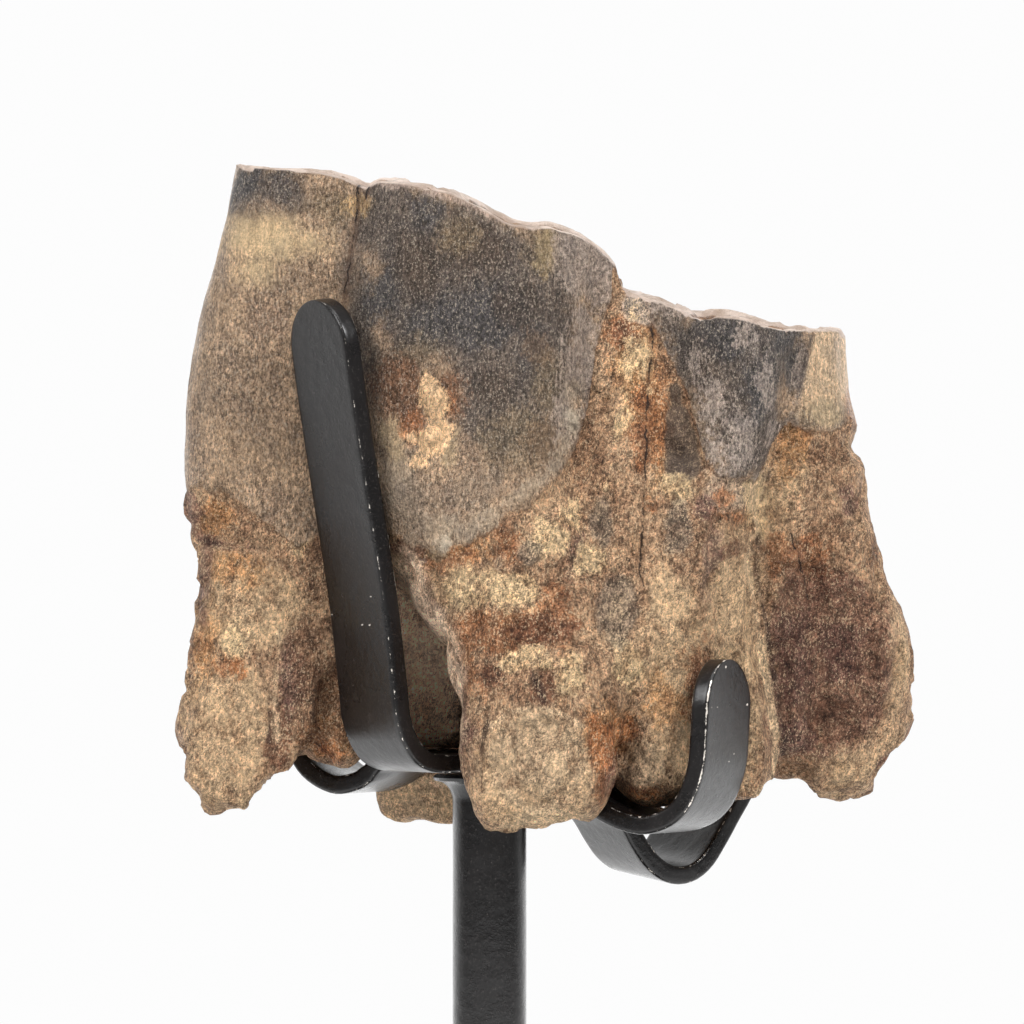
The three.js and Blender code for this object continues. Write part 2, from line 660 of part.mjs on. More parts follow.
const TOOTH_MATERIAL = new THREE.MeshStandardMaterial({
  color: 0x8f7554,
  roughness: 0.72,
  metalness: 0,
});
const STEEL_MATERIAL = new THREE.MeshStandardMaterial({
  color: 0x2b2829,
  roughness: 0.45,
  metalness: 0.2,
});

function part(name, geometry, material, z = 0) {
  const mesh = new THREE.Mesh(geometry, material);
  mesh.name = name;
  mesh.position.z = z;
  return mesh;
}

const stand = new THREE.Group();
stand.add(part('base', baseGeometry(), STEEL_MATERIAL));
stand.add(part('rod', rodGeometry(), STEEL_MATERIAL, BASE_THICKNESS));
stand.add(part('long_strip', stripGeometry(LONG_STRIP), STEEL_MATERIAL, CRADLE_Z));
stand.add(part('front_right_strip', stripGeometry(FRONT_RIGHT_STRIP), STEEL_MATERIAL, CRADLE_Z));
stand.add(part('rear_left_strip', stripGeometry(REAR_LEFT_STRIP), STEEL_MATERIAL, CRADLE_Z));

const group = new THREE.Group();
group.add(stand);
group.add(part('tooth', toothGeometry(), TOOTH_MATERIAL, CRADLE_Z));

export default group;
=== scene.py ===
"""A fossil woolly rhinoceros cheek tooth in its bent steel cradle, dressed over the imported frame."""

import math

import bpy
import numpy as np
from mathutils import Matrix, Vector


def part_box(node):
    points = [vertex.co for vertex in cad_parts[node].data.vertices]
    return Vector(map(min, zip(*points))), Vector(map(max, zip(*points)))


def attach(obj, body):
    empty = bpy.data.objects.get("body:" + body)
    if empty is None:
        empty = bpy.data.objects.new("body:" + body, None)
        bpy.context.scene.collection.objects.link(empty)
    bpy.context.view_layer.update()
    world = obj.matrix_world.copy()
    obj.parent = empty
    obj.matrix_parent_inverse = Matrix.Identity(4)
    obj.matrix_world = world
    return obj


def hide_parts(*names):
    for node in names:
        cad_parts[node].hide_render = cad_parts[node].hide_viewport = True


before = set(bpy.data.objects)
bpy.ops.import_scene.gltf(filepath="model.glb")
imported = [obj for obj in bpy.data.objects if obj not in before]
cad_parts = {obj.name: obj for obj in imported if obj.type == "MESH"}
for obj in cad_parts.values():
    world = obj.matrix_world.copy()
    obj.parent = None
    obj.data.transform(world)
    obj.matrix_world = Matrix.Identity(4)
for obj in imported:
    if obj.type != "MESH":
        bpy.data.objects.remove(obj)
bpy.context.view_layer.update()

# ---- Driving dimensions, in millimetres: they turn into metres when a mesh is made ----

MM = 0.001
BASE_SIDE = 76
BASE_THICKNESS = 8
BASE_CORNER_RADIUS = 2
ROD_DIAMETER = 6
ROD_HEIGHT = 72
STRIP_WIDTH = 8
STRIP_THICKNESS = 1.5
LONG_STRIP_ANGLE = 35.5  # degrees from +X to the rear hook, seen from above
SHORT_STRIP_ANGLE = -27.8  # degrees from +X to the front right hook
FILLET_RADIUS = 4.6  # of the brazing at the top of the rod
FILLET_HEIGHT = 1.7
SEAT_GAP = 0.3  # between pieces that touch
STRIP_ARRIS = 0.28  # radius of a strip's long edges
STRIP_LEAN = (6, 7, 12)  # the long strip leans over by 6 degrees, from a reach of 7 to one of 12
BASE_ARRIS = 0.6
RING_SPACING = 0.6  # between the sections along a strip
CRADLE_Z = BASE_THICKNESS + ROD_HEIGHT  # the underside of the strips at the rod
SHARP_ANGLE = math.radians(50)  # a steel arris that turns by more isn't shaded as round
ENAMEL_RELIEF = 0.22  # how far the enamel stands out over the root
ENAMEL_WIDTH = 1.5  # of the rim round the worn top
WEAR_DISH = 0.9  # how far the dentine lies below that rim
COLUMN_BLEND = 1.3  # width of the soft seams between the columns
NO_ENAMEL = 60  # a border above the top, where no enamel shows
TOOTH_LOW = np.array((-26.4, -16.0, -6.2))
TOOTH_HIGH = np.array((35.8, 16.8, 51.0))
TOOTH_CELL = 0.4  # side of the cells that the tooth's surface is drawn from
HOLLOW_REACH = 1.6  # how far outside the surface a hollow is felt for
FAR = 9.0  # further from a mark than its noise can reach
FLOOR_RADIUS = 430
FLOOR_FADE = (180, 420)  # where the floor starts and ends to fade into the surround
CORNERS = ((1, -1, -90), (1, 1, 0), (-1, 1, 90), (-1, -1, 180))  # each with its arc's first angle

# ---- The tooth's form: the same columns as the frame's solid ----
# Heights are measured from the underside of the cradle strips.
# A station is (height, left, right, front, back, turn in degrees).


def column(squareness, bottom, tip, stations):
    """An upright column of rounded sections. tip is the radius of its foot's edge."""
    return dict(squareness=squareness, bottom=bottom, tip=tip, stations=stations)


LEFT_COLUMN = column(3.2, -3.5, 3.4, [
    (-3.5, -24.6, -18.6, -3.6, 2.4, 0), (0, -24.9, -16.2, -4.4, 3.4, 0),
    (3, -25.2, -14, -4.5, 4, 0), (6.5, -24.6, -13.2, -4.2, 4.3, -2),
    (10, -24.1, -11.5, -4, 4.8, -4), (14, -23.5, -9.5, -3.9, 6.6, -7),
    (17, -23.9, -8.5, -3.9, 7, -9), (22, -24.4, -7, -4.1, 7.8, -11),
    (30, -24.1, -6.5, -4.8, 8.2, -13), (35, -23.4, -6.5, -5.2, 8, -13),
    (42, -21.6, -6.5, -5.6, 7.6, -12), (50, -19.8, -6.5, -5.6, 7.2, -10),
])
CENTRE_COLUMN = column(2.5, -4.7, 3.6, [
    (-4.7, -1.4, 9, -13.6, -6.4, -10), (0, -2.1, 10.4, -14.4, -5.4, -8),
    (6, -2.2, 11.2, -14.2, -2.6, 0), (10, -3.2, 11.2, -13.4, 0, 0),
    (14, -6.2, 11.4, -12.6, 5.5, 0), (18, -9.6, 11.2, -11.9, 9.5, 0),
    (24, -12, 9.6, -11.5, 11.2, 0), (30, -12.8, 9.2, -11.2, 12, 0),
    (38, -13, 10.2, -10.7, 11.8, 0), (50, -12.6, 10.4, -9.8, 11, 0),
])
FRONT_RIGHT_COLUMN = column(2.5, -2.7, 3.2, [
    (-2.7, 12.4, 20.8, -9.2, 6, -27.8), (0, 10.4, 21.5, -10.2, 8, -27.8),
    (4, 9.8, 21.6, -10.4, 8.6, -27.8), (8, 10.2, 21.2, -10.5, 8.6, -25),
    (14, 11.2, 21, -10.5, 9, -16), (19, 11.4, 21.7, -10.3, 9.8, -8),
    (24, 12.2, 22.6, -9.8, 10.6, 0), (30, 13.9, 24.2, -9.4, 11.2, 0),
    (36, 13.6, 25.4, -9, 11.2, 0),
])
RIGHT_COLUMN = column(3, -2.4, 2.8, [
    (-2.3, 23.6, 32.4, 1.6, 9.4, 0), (1, 22, 33.5, 0.6, 10.8, 0), (4, 21, 34.5, -0.2, 11.2, 0),
    (7, 20.6, 34.6, -1, 11, 0), (11, 20, 34, -1.8, 10.4, 0), (16.5, 19.5, 31.8, -2.8, 9.6, 0),
    (21, 19.5, 30.7, -3.6, 9, 0), (24.5, 19.5, 30.3, -3.9, 8.8, 0),
    (26.2, 19.5, 29.2, -4, 8.6, 0), (28, 19.5, 29.6, -4.1, 8.4, 0), (31, 19.5, 29, -4.1, 8.2, 0),
    (36, 19.5, 28.3, -4.2, 8, 0),
])
REAR_LEFT_ROOT = column(2.8, -4.2, 0.8, [
    (-4.5, -8.9, 1.4, 9, 14.4, 0), (0, -9.2, 3, 7.6, 15.4, 0), (6, -9.6, 4, 4.5, 15, 0),
    (14, -10, 5, 2, 13.4, 0), (22, -9, 5, 0, 11.6, 0),
])
REAR_RIGHT_ROOT = column(2.6, -1.9, 3, [
    (-1.9, 11.6, 19, 5.4, 12, 0), (2, 10.6, 20.6, 4, 13, 0), (8, 10.2, 21.4, 2, 13.2, 0),
    (16, 10, 22, 0, 12.2, 0), (24, 11, 22, 0, 11, 0),
])
FRONT_RIGHT_TOE = column(2.6, -2.2, 1.2, [
    (-2.2, 19.4, 22.9, -5.6, 3, 0), (2, 18.8, 22.9, -6, 4, 0), (6, 18.6, 22, -6, 4, 0),
    (12, 18.6, 20.5, -6, 4, 0),
])
LEFT_TOE = column(2.6, 0.5, 1, [
    (0.5, -14.8, -10.4, -1.6, 4.4, 0), (4, -15, -10, -1.9, 5, 0), (8, -15, -10, -1.9, 5, 0),
])
FRONT_RIGHT_KNOB = column(2.3, -2.6, 1.6, [
    (-2.6, 10.6, 14.6, -8.4, 0, 0), (1, 10.2, 14.8, -8.8, 0, 0), (4, 10.6, 14.6, -8.4, 0, 0),
    (9, 11.4, 14, -6, 0, 0),
])
GROOVE_CEMENT = column(3, 4, 6, [
    (4, 7, 15, -10.4, 4, 0), (12, 6.5, 16.5, -11, 4, 0), (18, 6.5, 18, -10.6, 4, 0),
    (24, 6.5, 18.5, -9.4, 5, 0), (30, 6.5, 17.5, -8.2, 6, 0), (38, 6.5, 16, -6.8, 7, 0),
])
TOP_OUTLINE = [
    (-22, 50.2), (-20.4, 49.6), (-19.6, 49.2), (-16.2, 49), (-12.9, 48.6), (-10.9, 48),
    (-9.9, 47.5), (-8.9, 48.1), (-7.2, 48), (-4.8, 47.6), (-2.8, 47), (-1.1, 46.2),
    (0.5, 45.2), (1.7, 44.6), (3.3, 44.3), (4.8, 44.4), (6, 44.1), (7.2, 43.7),
    (8.4, 42.9), (9.4, 42), (10.3, 41), (10.5, 40), (10.8, 39.2), (12.2, 38.7),
    (13.8, 38.4), (14.8, 38), (15.9, 37.4), (17.1, 37.1), (18.3, 37.3), (19.9, 37.1),
    (21.6, 36.7), (23.2, 36.1), (26.8, 36), (29, 35.8),
]
ENAMEL_BORDER = [
    (-25, 22.8), (-21.6, 22.7), (-18.4, 20.4), (-15.4, 18.4), (-8.5, 19.5), (-6, 18.4),
    (-3.6, 17.6), (-0.8, 19.1), (1.7, 20.7), (4.1, 22.3), (5.7, 24), (6.9, 26),
    (7.7, 28.4), (8.2, 31.7), (8.6, 34.5), (9.2, 36.5), (10, 38.6), (10.2, NO_ENAMEL),
    (12.6, NO_ENAMEL), (12.9, 36.6), (14, 34.4), (15.8, 30.8), (16.7, 27.6), (17.2, 25.4),
    (18.2, 24.2), (19.8, 23.6), (21.4, 23.8), (22.2, 24.8), (22.8, 26.4), (24, 28.4), (25.3, 27.8),
    (26.8, 27.5), (28.6, 28.2),
]
REAR_ENAMEL_BORDER = [
    (-25, 22.8), (-17, 18), (-10, 20), (-4, 23), (3, 17.5), (9, 21), (14, 24), (19, 20.5),
    (25, 24), (30, 27),
]
LONG_STRIP_PATH = [
    (-17.35, 37.9), (-16.95, 34.9), (-16.2, 30.1), (-14.7, 21.9), (-13.2, 13.8), (-12.2, 6.5),
    (-11.95, 4.4), (-11.2, 2.4), (-9.9, 0.8), (-8.4, 0.12), (-7.2, 0), (4.3, 0),
    (6.4, -0.9), (8.4, -2.2), (10.6, -4.3), (12, -6.3), (13.3, -7.8), (14.8, -8.8),
    (16.4, -9.15), (18, -8.85), (19.4, -7.95), (20.9, -6.1), (22.2, -4.2), (23.4, -2.5),
    (24.8, 0), (25.8, 2.4), (26.4, 4.8), (26.6, 7.4),
]
FRONT_RIGHT_PATH = [
    (4.7, 0), (6.6, -0.5), (8.6, -1.6), (10.4, -2.9), (11.9, -3.7), (13.7, -4.45),
    (15.6, -4.8), (17.1, -4.6), (18.7, -3.9), (19.9, -2.8), (20.8, -1.2), (21.35, 0.6),
    (21.6, 3.3), (21.75, 6), (21.75, 9.2),
]
REAR_LEFT_PATH = [
    (4.7, 0), (7.1, -0.05), (8.2, -0.6), (9.4, -1.3), (10.9, -1.85), (12.2, -2),
    (13.4, -1.7), (14.6, -1.1), (15.6, -0.3), (16.3, 0.7), (16.7, 2), (16.9, 4), (17.1, 8.5),
]
COLUMNS = [
    LEFT_COLUMN, CENTRE_COLUMN, FRONT_RIGHT_COLUMN, RIGHT_COLUMN, REAR_LEFT_ROOT, REAR_RIGHT_ROOT,
    GROOVE_CEMENT, FRONT_RIGHT_TOE, LEFT_TOE, FRONT_RIGHT_KNOB,
]
# The crown's core, which the columns stand out from: front and back are lines of (height, y).
BODY = dict(
    bottom=1.85,
    left=-13.6,
    right=26,
    front=[(2, -1.7), (10, -2.2), (18, -4.2), (26, -5), (40, -4.6)],
    back=[(2, 7.6), (12, 8.6), (24, 9.2), (40, 8.8)],
    round=1.6,
)
# The two upright valleys in the back of the crown.
VALLEYS = [
    dict(x=-5.4, mouth=4.6, tip=1.6, head=1.5, floor=21, lean=0.16),
    dict(x=14.4, mouth=3.6, tip=1.4, head=2.6, floor=20, lean=-0.1),
]
# Pieces that are broken off the tips of the roots: (x, height, half width, half height, turn).
BITES = [
    (-25, -2.6, 1.7, 1.9), (-16.9, -2.4, 3.6, 1.9, 42), (6.5, -5.6, 2.8, 1.9),
    (24.3, -2.6, 2.6, 2.2), (33.6, 0, 3.2, 1.6, 53),
]
# (path, angle, top of the leg on the left, on the right, where the strip begins)
STRIP_ROOMS = [
    (LONG_STRIP_PATH, LONG_STRIP_ANGLE, 38.4, 8, -30),
    (FRONT_RIGHT_PATH, SHORT_STRIP_ANGLE, 0, 9.7, 2),
    (REAR_LEFT_PATH, SHORT_STRIP_ANGLE + 180, 0, 9, 2),
]


def smoothstep(value, low, high):
    t = np.clip((value - low) / (high - low), 0, 1)
    return t * t * (3 - 2 * t)


def lerp(a, b, t):
    return a + (b - a) * t


def along(points, at):
    """Straight interpolation through points (at, value), held flat past both ends."""
    return np.interp(at, [p[0] for p in points], [p[1] for p in points])


def smooth_min(a, b, blend):
    """The lower of two fields, with a fillet of about this width between them."""
    h = np.maximum(blend - np.abs(a - b), 0) / blend
    return np.minimum(a, b) - h * h * blend * 0.25


def smooth_max(a, b, blend):
    return -smooth_min(-a, -b, blend)


def rounded_max(a, b, radius):
    """The edge between two surfaces, rounded with a radius."""
    out_a = np.maximum(a + radius, 0)
    out_b = np.maximum(b + radius, 0)
    return np.minimum(np.maximum(a, b), -radius) + np.hypot(out_a, out_b)


# ---- Noise ----


def lattice(ix, iy, iz, seed):
    """A repeatable random number from 0 to 1 for each lattice point, hashed from its whole numbers."""
    h = ix * 374761393 + iy * 668265263 + iz * 1274126177 + seed * 144665
    h = (h ^ (h >> 13)) * 1103515245
    h = h ^ (h >> 16)
    return (h & 0xFFFF) / 0xFFFF


def noise(points, size, seed=0):
    """Smooth value noise from -1 to 1. size is the wavelength along each axis."""
    p = points / np.asarray(size, float)
    cell = np.floor(p).astype(np.int64)
    f = p - cell
    f = f * f * (3 - 2 * f)
    total = 0
    for corner in np.ndindex(2, 2, 2):
        weight = 1
        for axis, ahead in enumerate(corner):
            weight = weight * (f[..., axis] if ahead else 1 - f[..., axis])
        total = total + weight * lattice(*np.moveaxis(cell + corner, -1, 0), seed)
    return 2 * total - 1


def layered(points, size, layers=3, seed=0):
    """Layers of noise, each half as large and half as strong as the one before."""
    size = np.asarray(size, float)
    total = 0
    for i in range(layers):
        total = total + 0.5**i * noise(points + 17.3 * i, size / 2**i, seed + i)
    return total


# ---- Marks, drawn as seen from the front: millimetres inside the nearest of them ----


def blot_field(x, z, blots):
    """Ovals of (x, height, half width, half height, and a turn in degrees if there is one)."""
    field = np.full(np.shape(x), -FAR)
    for bx, bz, rx, rz, *turn in blots:
        angle = math.radians(sum(turn))
        cos, sin = math.cos(angle), math.sin(angle)
        u = ((x - bx) * cos + (z - bz) * sin) / rx
        v = ((z - bz) * cos - (x - bx) * sin) / rz
        field = np.maximum(field, (1 - np.hypot(u, v)) * min(rx, rz))
    return field


def stroke_field(x, z, strokes):
    """Lines of (half width, [(x, height), ...])."""
    field = np.full(np.shape(x), -FAR)
    for half, line in strokes:
        for (xa, za), (xb, zb) in zip(line, line[1:]):
            run, climb = xb - xa, zb - za
            t = np.clip(((x - xa) * run + (z - za) * climb) / (run**2 + climb**2), 0, 1)
            field = np.maximum(field, half - np.hypot(x - xa - t * run, z - za - t * climb))
    return field


# ---- The tooth's field: negative inside ----


def column_field(shape, x, y, z):
    """A column whose section is resized and turned from station to station."""
    stations = np.array(shape["stations"], float)
    at = [np.interp(z, stations[:, 0], stations[:, i]) for i in range(1, 6)]
    left, right, front, back = at[:4]
    angle = np.radians(at[4])
    half_x = (right - left) / 2
    half_y = (back - front) / 2
    dx = x - (left + right) / 2
    dy = y - (front + back) / 2
    u = (dx * np.cos(angle) + dy * np.sin(angle)) / half_x
    v = (dy * np.cos(angle) - dx * np.sin(angle)) / half_y
    n = shape["squareness"]
    power_u = (np.abs(u) + 1e-6) ** (n - 1)
    power_v = (np.abs(v) + 1e-6) ** (n - 1)
    rho = (power_u * np.abs(u) + power_v * np.abs(v) + 1e-9) ** (1 / n)
    slope = rho ** (1 - n) * np.hypot(power_u / half_x, power_v / half_y)
    side = (rho - 1) / np.maximum(slope, 0.6 / np.maximum(half_x, half_y))
    return rounded_max(side, shape["bottom"] - z, shape["tip"])


def body_field(x, y, z):
    """The crown's core: a block with round edges."""
    side_x = np.maximum(BODY["left"] - x, x - BODY["right"])
    side_y = np.maximum(along(BODY["front"], z) - y, y - along(BODY["back"], z))
    side = rounded_max(side_x, side_y, BODY["round"])
    return rounded_max(side, BODY["bottom"] - z, BODY["round"])


def valley_field(valley, x, y, z):
    """A cut that narrows from its mouth at the back to its head, and from its top to its floor."""
    rise = smoothstep(z, valley["floor"], 50)
    head = lerp(valley["head"] + 4, valley["head"], rise)
    middle = valley["x"] + valley["lean"] * (y - valley["head"])
    reach = np.clip((y - head) / (12 - head), 0, 1)
    half = lerp(valley["tip"], valley["mouth"], reach) * lerp(0.35, 0.62, rise)
    sides = np.abs(x - middle) - half
    return rounded_max(rounded_max(sides, head - y, 1), valley["floor"] - z, 1.5)


def lumps(x, y, z):
    """Broad swellings everywhere, and smaller ones that grow on the roots."""
    broad = np.sin(0.41 * x + 0.3) * np.sin(0.36 * z + 1.1) * np.cos(0.33 * y)
    small = np.sin(0.95 * x + 0.25 * z) * np.sin(0.83 * z - 0.31 * x + 0.7 * y)
    low = 1 - smoothstep(z, 14, 26)
    return 0.16 * broad + (0.05 + 0.2 * low) * small


def above_border(x, y, z):
    """Height above the lower border of the enamel."""
    border = lerp(along(ENAMEL_BORDER, x), along(REAR_ENAMEL_BORDER, x), smoothstep(y, -1, 3))
    return z - border


def strip_room(strip, x, y, z):
    """Distance to the room that a strip and everything behind it takes: negative inside."""
    path, angle, left_top, right_top, begin = strip
    cos = math.cos(math.radians(angle))
    sin = math.sin(math.radians(angle))
    reach = x * cos + y * sin
    offset = np.abs(y * cos - x * sin)
    nearest = np.full(np.shape(reach), 1e9)
    inward = np.ones(np.shape(reach))
    for (reach_a, height_a), (reach_b, height_b) in zip(path, path[1:]):
        run = reach_b - reach_a
        climb = height_b - height_a
        t = np.clip(
            ((reach - reach_a) * run + (z - height_a) * climb) / (run * run + climb * climb), 0, 1
        )
        away = np.hypot(reach - reach_a - t * run, z - height_a - t * climb)
        side = np.sign(run * (z - height_a) - climb * (reach - reach_a))
        inward = np.where(away < nearest, np.where(side == 0, 1, side), inward)
        nearest = np.minimum(away, nearest)
    depth = inward * nearest - STRIP_THICKNESS - SEAT_GAP
    beside = 2 * np.maximum(0, offset - STRIP_WIDTH / 2 - SEAT_GAP)
    top = np.where(reach < 0, left_top, right_top)
    return np.maximum(np.maximum(depth + beside, z - top), begin - reach)


def rod_room(x, y, z):
    """Distance to the room of the rod and its fillet: negative inside."""
    radius = lerp(ROD_DIAMETER / 2, FILLET_RADIUS, smoothstep(z, -FILLET_HEIGHT - 1, -0.8))
    return np.maximum(np.hypot(x, y) - radius - 2 * SEAT_GAP, z)


def clearance(x, y, z):
    """How far a point is from the rooms of the strips and the rod."""
    rooms = [strip_room(strip, x, y, z) for strip in STRIP_ROOMS]
    return np.minimum.reduce(rooms + [rod_room(x, y, z)])


def side_field(x, y, z):
    """The tooth as if it had no worn top."""
    side = body_field(x, y, z)
    for shape in COLUMNS:
        side = smooth_min(side, column_field(shape, x, y, z), COLUMN_BLEND)
    points = np.stack(np.broadcast_arrays(x, y, z), -1)
    ragged = 0.3 * noise(points, 2.2, 5)
    side = side - ENAMEL_RELIEF * smoothstep(above_border(x, y, z) + ragged, -0.2, 0.2)
    side = side + lumps(x, y, z)
    for valley in VALLEYS:
        side = smooth_max(side, -valley_field(valley, x, y, z), 0.6)
    low = tuple(np.broadcast_arrays(x, z))
    side = smooth_max(side, blot_field(*low, BITES) + 0.3 * noise(points, 2.3, 8), 0.3)
    for strip in STRIP_ROOMS:
        side = smooth_max(side, -strip_room(strip, x, y, z), 0.4)
    return np.maximum(side, -rod_room(x, y, z))


def tooth_field(x, y, z):
    """The whole tooth, with its worn top dished inside the enamel's rim."""
    side = side_field(x, y, z)
    dish = WEAR_DISH * smoothstep(-side, ENAMEL_WIDTH * 0.6, ENAMEL_WIDTH * 1.8)
    tilt = 0.055 * np.clip(y, -10, 11)
    top = z - (along(TOP_OUTLINE, x) - 0.1 + tilt - dish)
    return rounded_max(side, top, 0.35)


def surface_nets(field, low, high, cell):
    """Points and quads of the surface where a field is zero: one point in each cell that it cuts."""
    axes = [np.arange(low[i], high[i] + cell, cell) for i in range(3)]
    values = field(axes[0][:, None, None], axes[1][None, :, None], axes[2][None, None, :])
    values = np.broadcast_to(values, [len(a) for a in axes])
    inside = values < 0
    cells = [n - 1 for n in values.shape]
    count = np.zeros(cells, np.int32)
    total = np.zeros(cells + [3])
    crossings = []
    for axis in range(3):
        lower = [slice(None)] * 3
        upper = [slice(None)] * 3
        lower[axis] = slice(0, -1)
        upper[axis] = slice(1, None)
        a, b = values[tuple(lower)], values[tuple(upper)]
        crossing = inside[tuple(lower)] != inside[tuple(upper)]
        t = np.where(crossing, a / np.where(a == b, 1, a - b), 0)
        crossings.append((crossing, inside[tuple(lower)]))
        first, second = [i for i in range(3) if i != axis]
        for da in (0, 1):
            for db in (0, 1):
                part = [slice(None)] * 3
                part[first] = slice(da, cells[first] + da)
                part[second] = slice(db, cells[second] + db)
                here = crossing[tuple(part)]
                count += here
                total[..., axis] += np.where(here, t[tuple(part)], 0)
                total[..., first] += here * da
                total[..., second] += here * db
    active = count > 0
    number = np.full(cells, -1)
    number[active] = np.arange(active.sum())
    where = np.argwhere(active)
    points = np.array(low) + cell * (where + total[active] / count[active][:, None])
    quads = []
    for axis in range(3):
        crossing, starts_inside = crossings[axis]
        first, second = (axis + 1) % 3, (axis + 2) % 3
        at = np.argwhere(crossing)
        keep = (at[:, first] > 0) & (at[:, second] > 0)
        keep &= (at[:, first] < cells[first]) & (at[:, second] < cells[second])
        at = at[keep]
        corners = []
        for da, db in ((1, 1), (0, 1), (0, 0), (1, 0)):
            c = at.copy()
            c[:, first] -= da
            c[:, second] -= db
            corners.append(number[c[:, 0], c[:, 1], c[:, 2]])
        faces = np.stack(corners, 1)
        flip = ~starts_inside[at[:, 0], at[:, 1], at[:, 2]]
        faces[flip] = faces[flip][:, ::-1]
        quads.append(faces)
    return points, np.concatenate(quads)


def gradient(field, points, step=0.05):
    """A field's slope along x, y and z."""
    x, y, z = points.T
    return np.stack(
        [
            field(x + step, y, z) - field(x - step, y, z),
            field(x, y + step, z) - field(x, y - step, z),
            field(x, y, z + step) - field(x, y, z - step),
        ],
        1,
    ) / (2 * step)


def settle(field, points, rounds=2):
    """Points moved onto the surface, by a quarter of a millimetre a round at most, and their normals."""
    for _ in range(rounds):
        slope = gradient(field, points)
        size = np.maximum(np.linalg.norm(slope, axis=1), 0.4)
        move = np.clip(field(*points.T) / size, -0.25, 0.25)
        points = points - slope * (move / size)[:, None]
    slope = gradient(field, points)
    return points, slope / np.maximum(np.linalg.norm(slope, axis=1, keepdims=True), 1e-6)


# ---- The tooth's fine surface ----


# Raised flakes and lumps, and worn hollows, of the outer face.
# Each is (height of its step, width of the step, ovals as in blot_field).
STEPS = [
    (-0.55, 0.5, [(-14.3, 6.2, 2.7, 5.4, 6), (-13.6, 2.2, 2, 2.2)]),
    (0.4, 0.3, [(-23.4, 21.6, 1.9, 1.5)]),
    (-0.4, 0.3, [(-20.9, 18.5, 2.5, 0.35, 2), (-23.9, 15.6, 0.7, 2.4)]),
    (0.4, 0.25, [(-15, 20.3, 1, 2.9, 8)]),
    (0.3, 0.5, [(-20.6, 13.6, 2.6, 4.6)]),
    (-0.35, 0.9, [(-5.3, 29.4, 3, 4.4, -8)]),
    (0.75, 0.5, [(-4.5, 30.6, 1, 1.7, 8), (-5, 26.9, 1.1, 1.6, -28)]),
    (-0.3, 0.25, [(15.4, 27.1, 1.3, 3.3, 10)]),
    (-0.45, 0.5, [(4, 1, 3.9, 3.9)]),
    (0.35, 0.35, [(1, 11.3, 1.1, 1.3), (6.6, 9.2, 1.5, 1.6), (6, 18.6, 1.6, 2.2, 20)]),
    (-0.45, 0.4, [(3.2, 11.4, 1.9, 1.3, 10), (4.1, 7.2, 0.9, 1.7)]),
    (-0.6, 0.5, [(27.4, 8.6, 4.4, 7, -10), (25.6, 13.5, 2.2, 3.6)]),
    (0.35, 0.3, [(13, 21.4, 0.7, 0.7), (20, 18.4, 1.3, 0.9)]),
    (-0.35, 0.4, [(17.8, 18.6, 0.7, 3.4, -10), (10.6, 2, 0.5, 3.4, 14)]),
    (0.3, 0.4, [(12.4, 0.4, 2, 2)]),
]


def steps_relief(points):
    """The steps' height, which fades out round the sides."""
    x, y, z = points.T
    jitter = 0.55 * layered(points, (1.6, 1.6, 1.6), 3, 71)
    total = np.zeros(x.shape)
    for height, width, blots in STEPS:
        total += height * smoothstep(blot_field(x, z, blots) + jitter, 0, width)
    return total * (1 - smoothstep(y, 0, 2))


def relief(points, normals):
    """Fine relief along the normals: faintly striated enamel, granular flaking roots."""
    x, y, z = points.T
    enamel = smoothstep(above_border(x, y, z) + 0.5 * noise(points, 1.6, 5), -0.3, 0.3)
    worn = smoothstep(normals[:, 2], 0.45, 0.8) * smoothstep(z, 33, 36)
    striae = 0.05 * noise(points, (0.9, 0.9, 5), 31) + 0.08 * noise(points, (2.4, 2.4, 9), 32)
    crust = 0.07 * layered(points, (1.1, 1.1, 1.6), 2, 33)
    grain = 0.2 * layered(points, (1.5, 1.5, 1.9), 3, 11)
    pits = -0.4 * smoothstep(noise(points, (1.5, 1.5, 2.0), 21), 0.45, 0.75)
    flakes = 0.3 * smoothstep(layered(points, (5, 5, 7), 3, 41), -0.04, 0.04)
    chips = -0.22 * smoothstep(layered(points, (2.4, 2.4, 2.0), 2, 51), 0.45, 0.6)
    root = grain + pits + flakes - 0.15
    top = 0.12 * layered(points, (1.4, 1.4, 1.4), 2, 61) + chips
    height = lerp(lerp(root, striae + crust, enamel), top, worn) + steps_relief(points)
    return height * smoothstep(clearance(x, y, z), 0.05, 1.2)


# Cracks, each with the side that it is on (-1 front, 1 back) and its line of (height, x).
CRACKS = [
    (-1, [(15.2, 12.3), (16.1, 12), (18.7, 12.2), (24.4, 12.5), (30, 12.7), (35.5, 13.1)]),
    (-1, [(38.5, -11.6), (41.4, -11.2), (44.2, -10.7), (48, -10.4)]),
    (-1, [(14.2, 25.7), (16.3, 25.2), (19.2, 24.3)]),
    (-1, [(46.2, -9.9), (48.4, -9.3)]),
    (1, [(16, 2.4), (24, 3.1), (33, 2.2), (42, 2.8)]),
    (1, [(27, -15.8), (36, -15), (44, -15.6)]),
]


# ---- Stains, and some painted light and shade ----
# Colours that lie over the root's tan and the enamel's beige, each over the ones before it. Some are
# painted light or shade, as noted.
# soft is the width of an edge, ragged how far noise moves it, both in millimetres. wild is how
# much of the unseen sides the stain covers, and calm how much of the grain it hides, from 0 to 1.


def stain(name, colour, blots, strokes=(), soft=0.3, ragged=1.0, opacity=0.8, wild=0.0, calm=0.0):
    return dict(name=name, colour=colour, blots=blots, strokes=strokes, soft=soft,
                ragged=ragged, opacity=opacity, wild=wild, calm=calm)


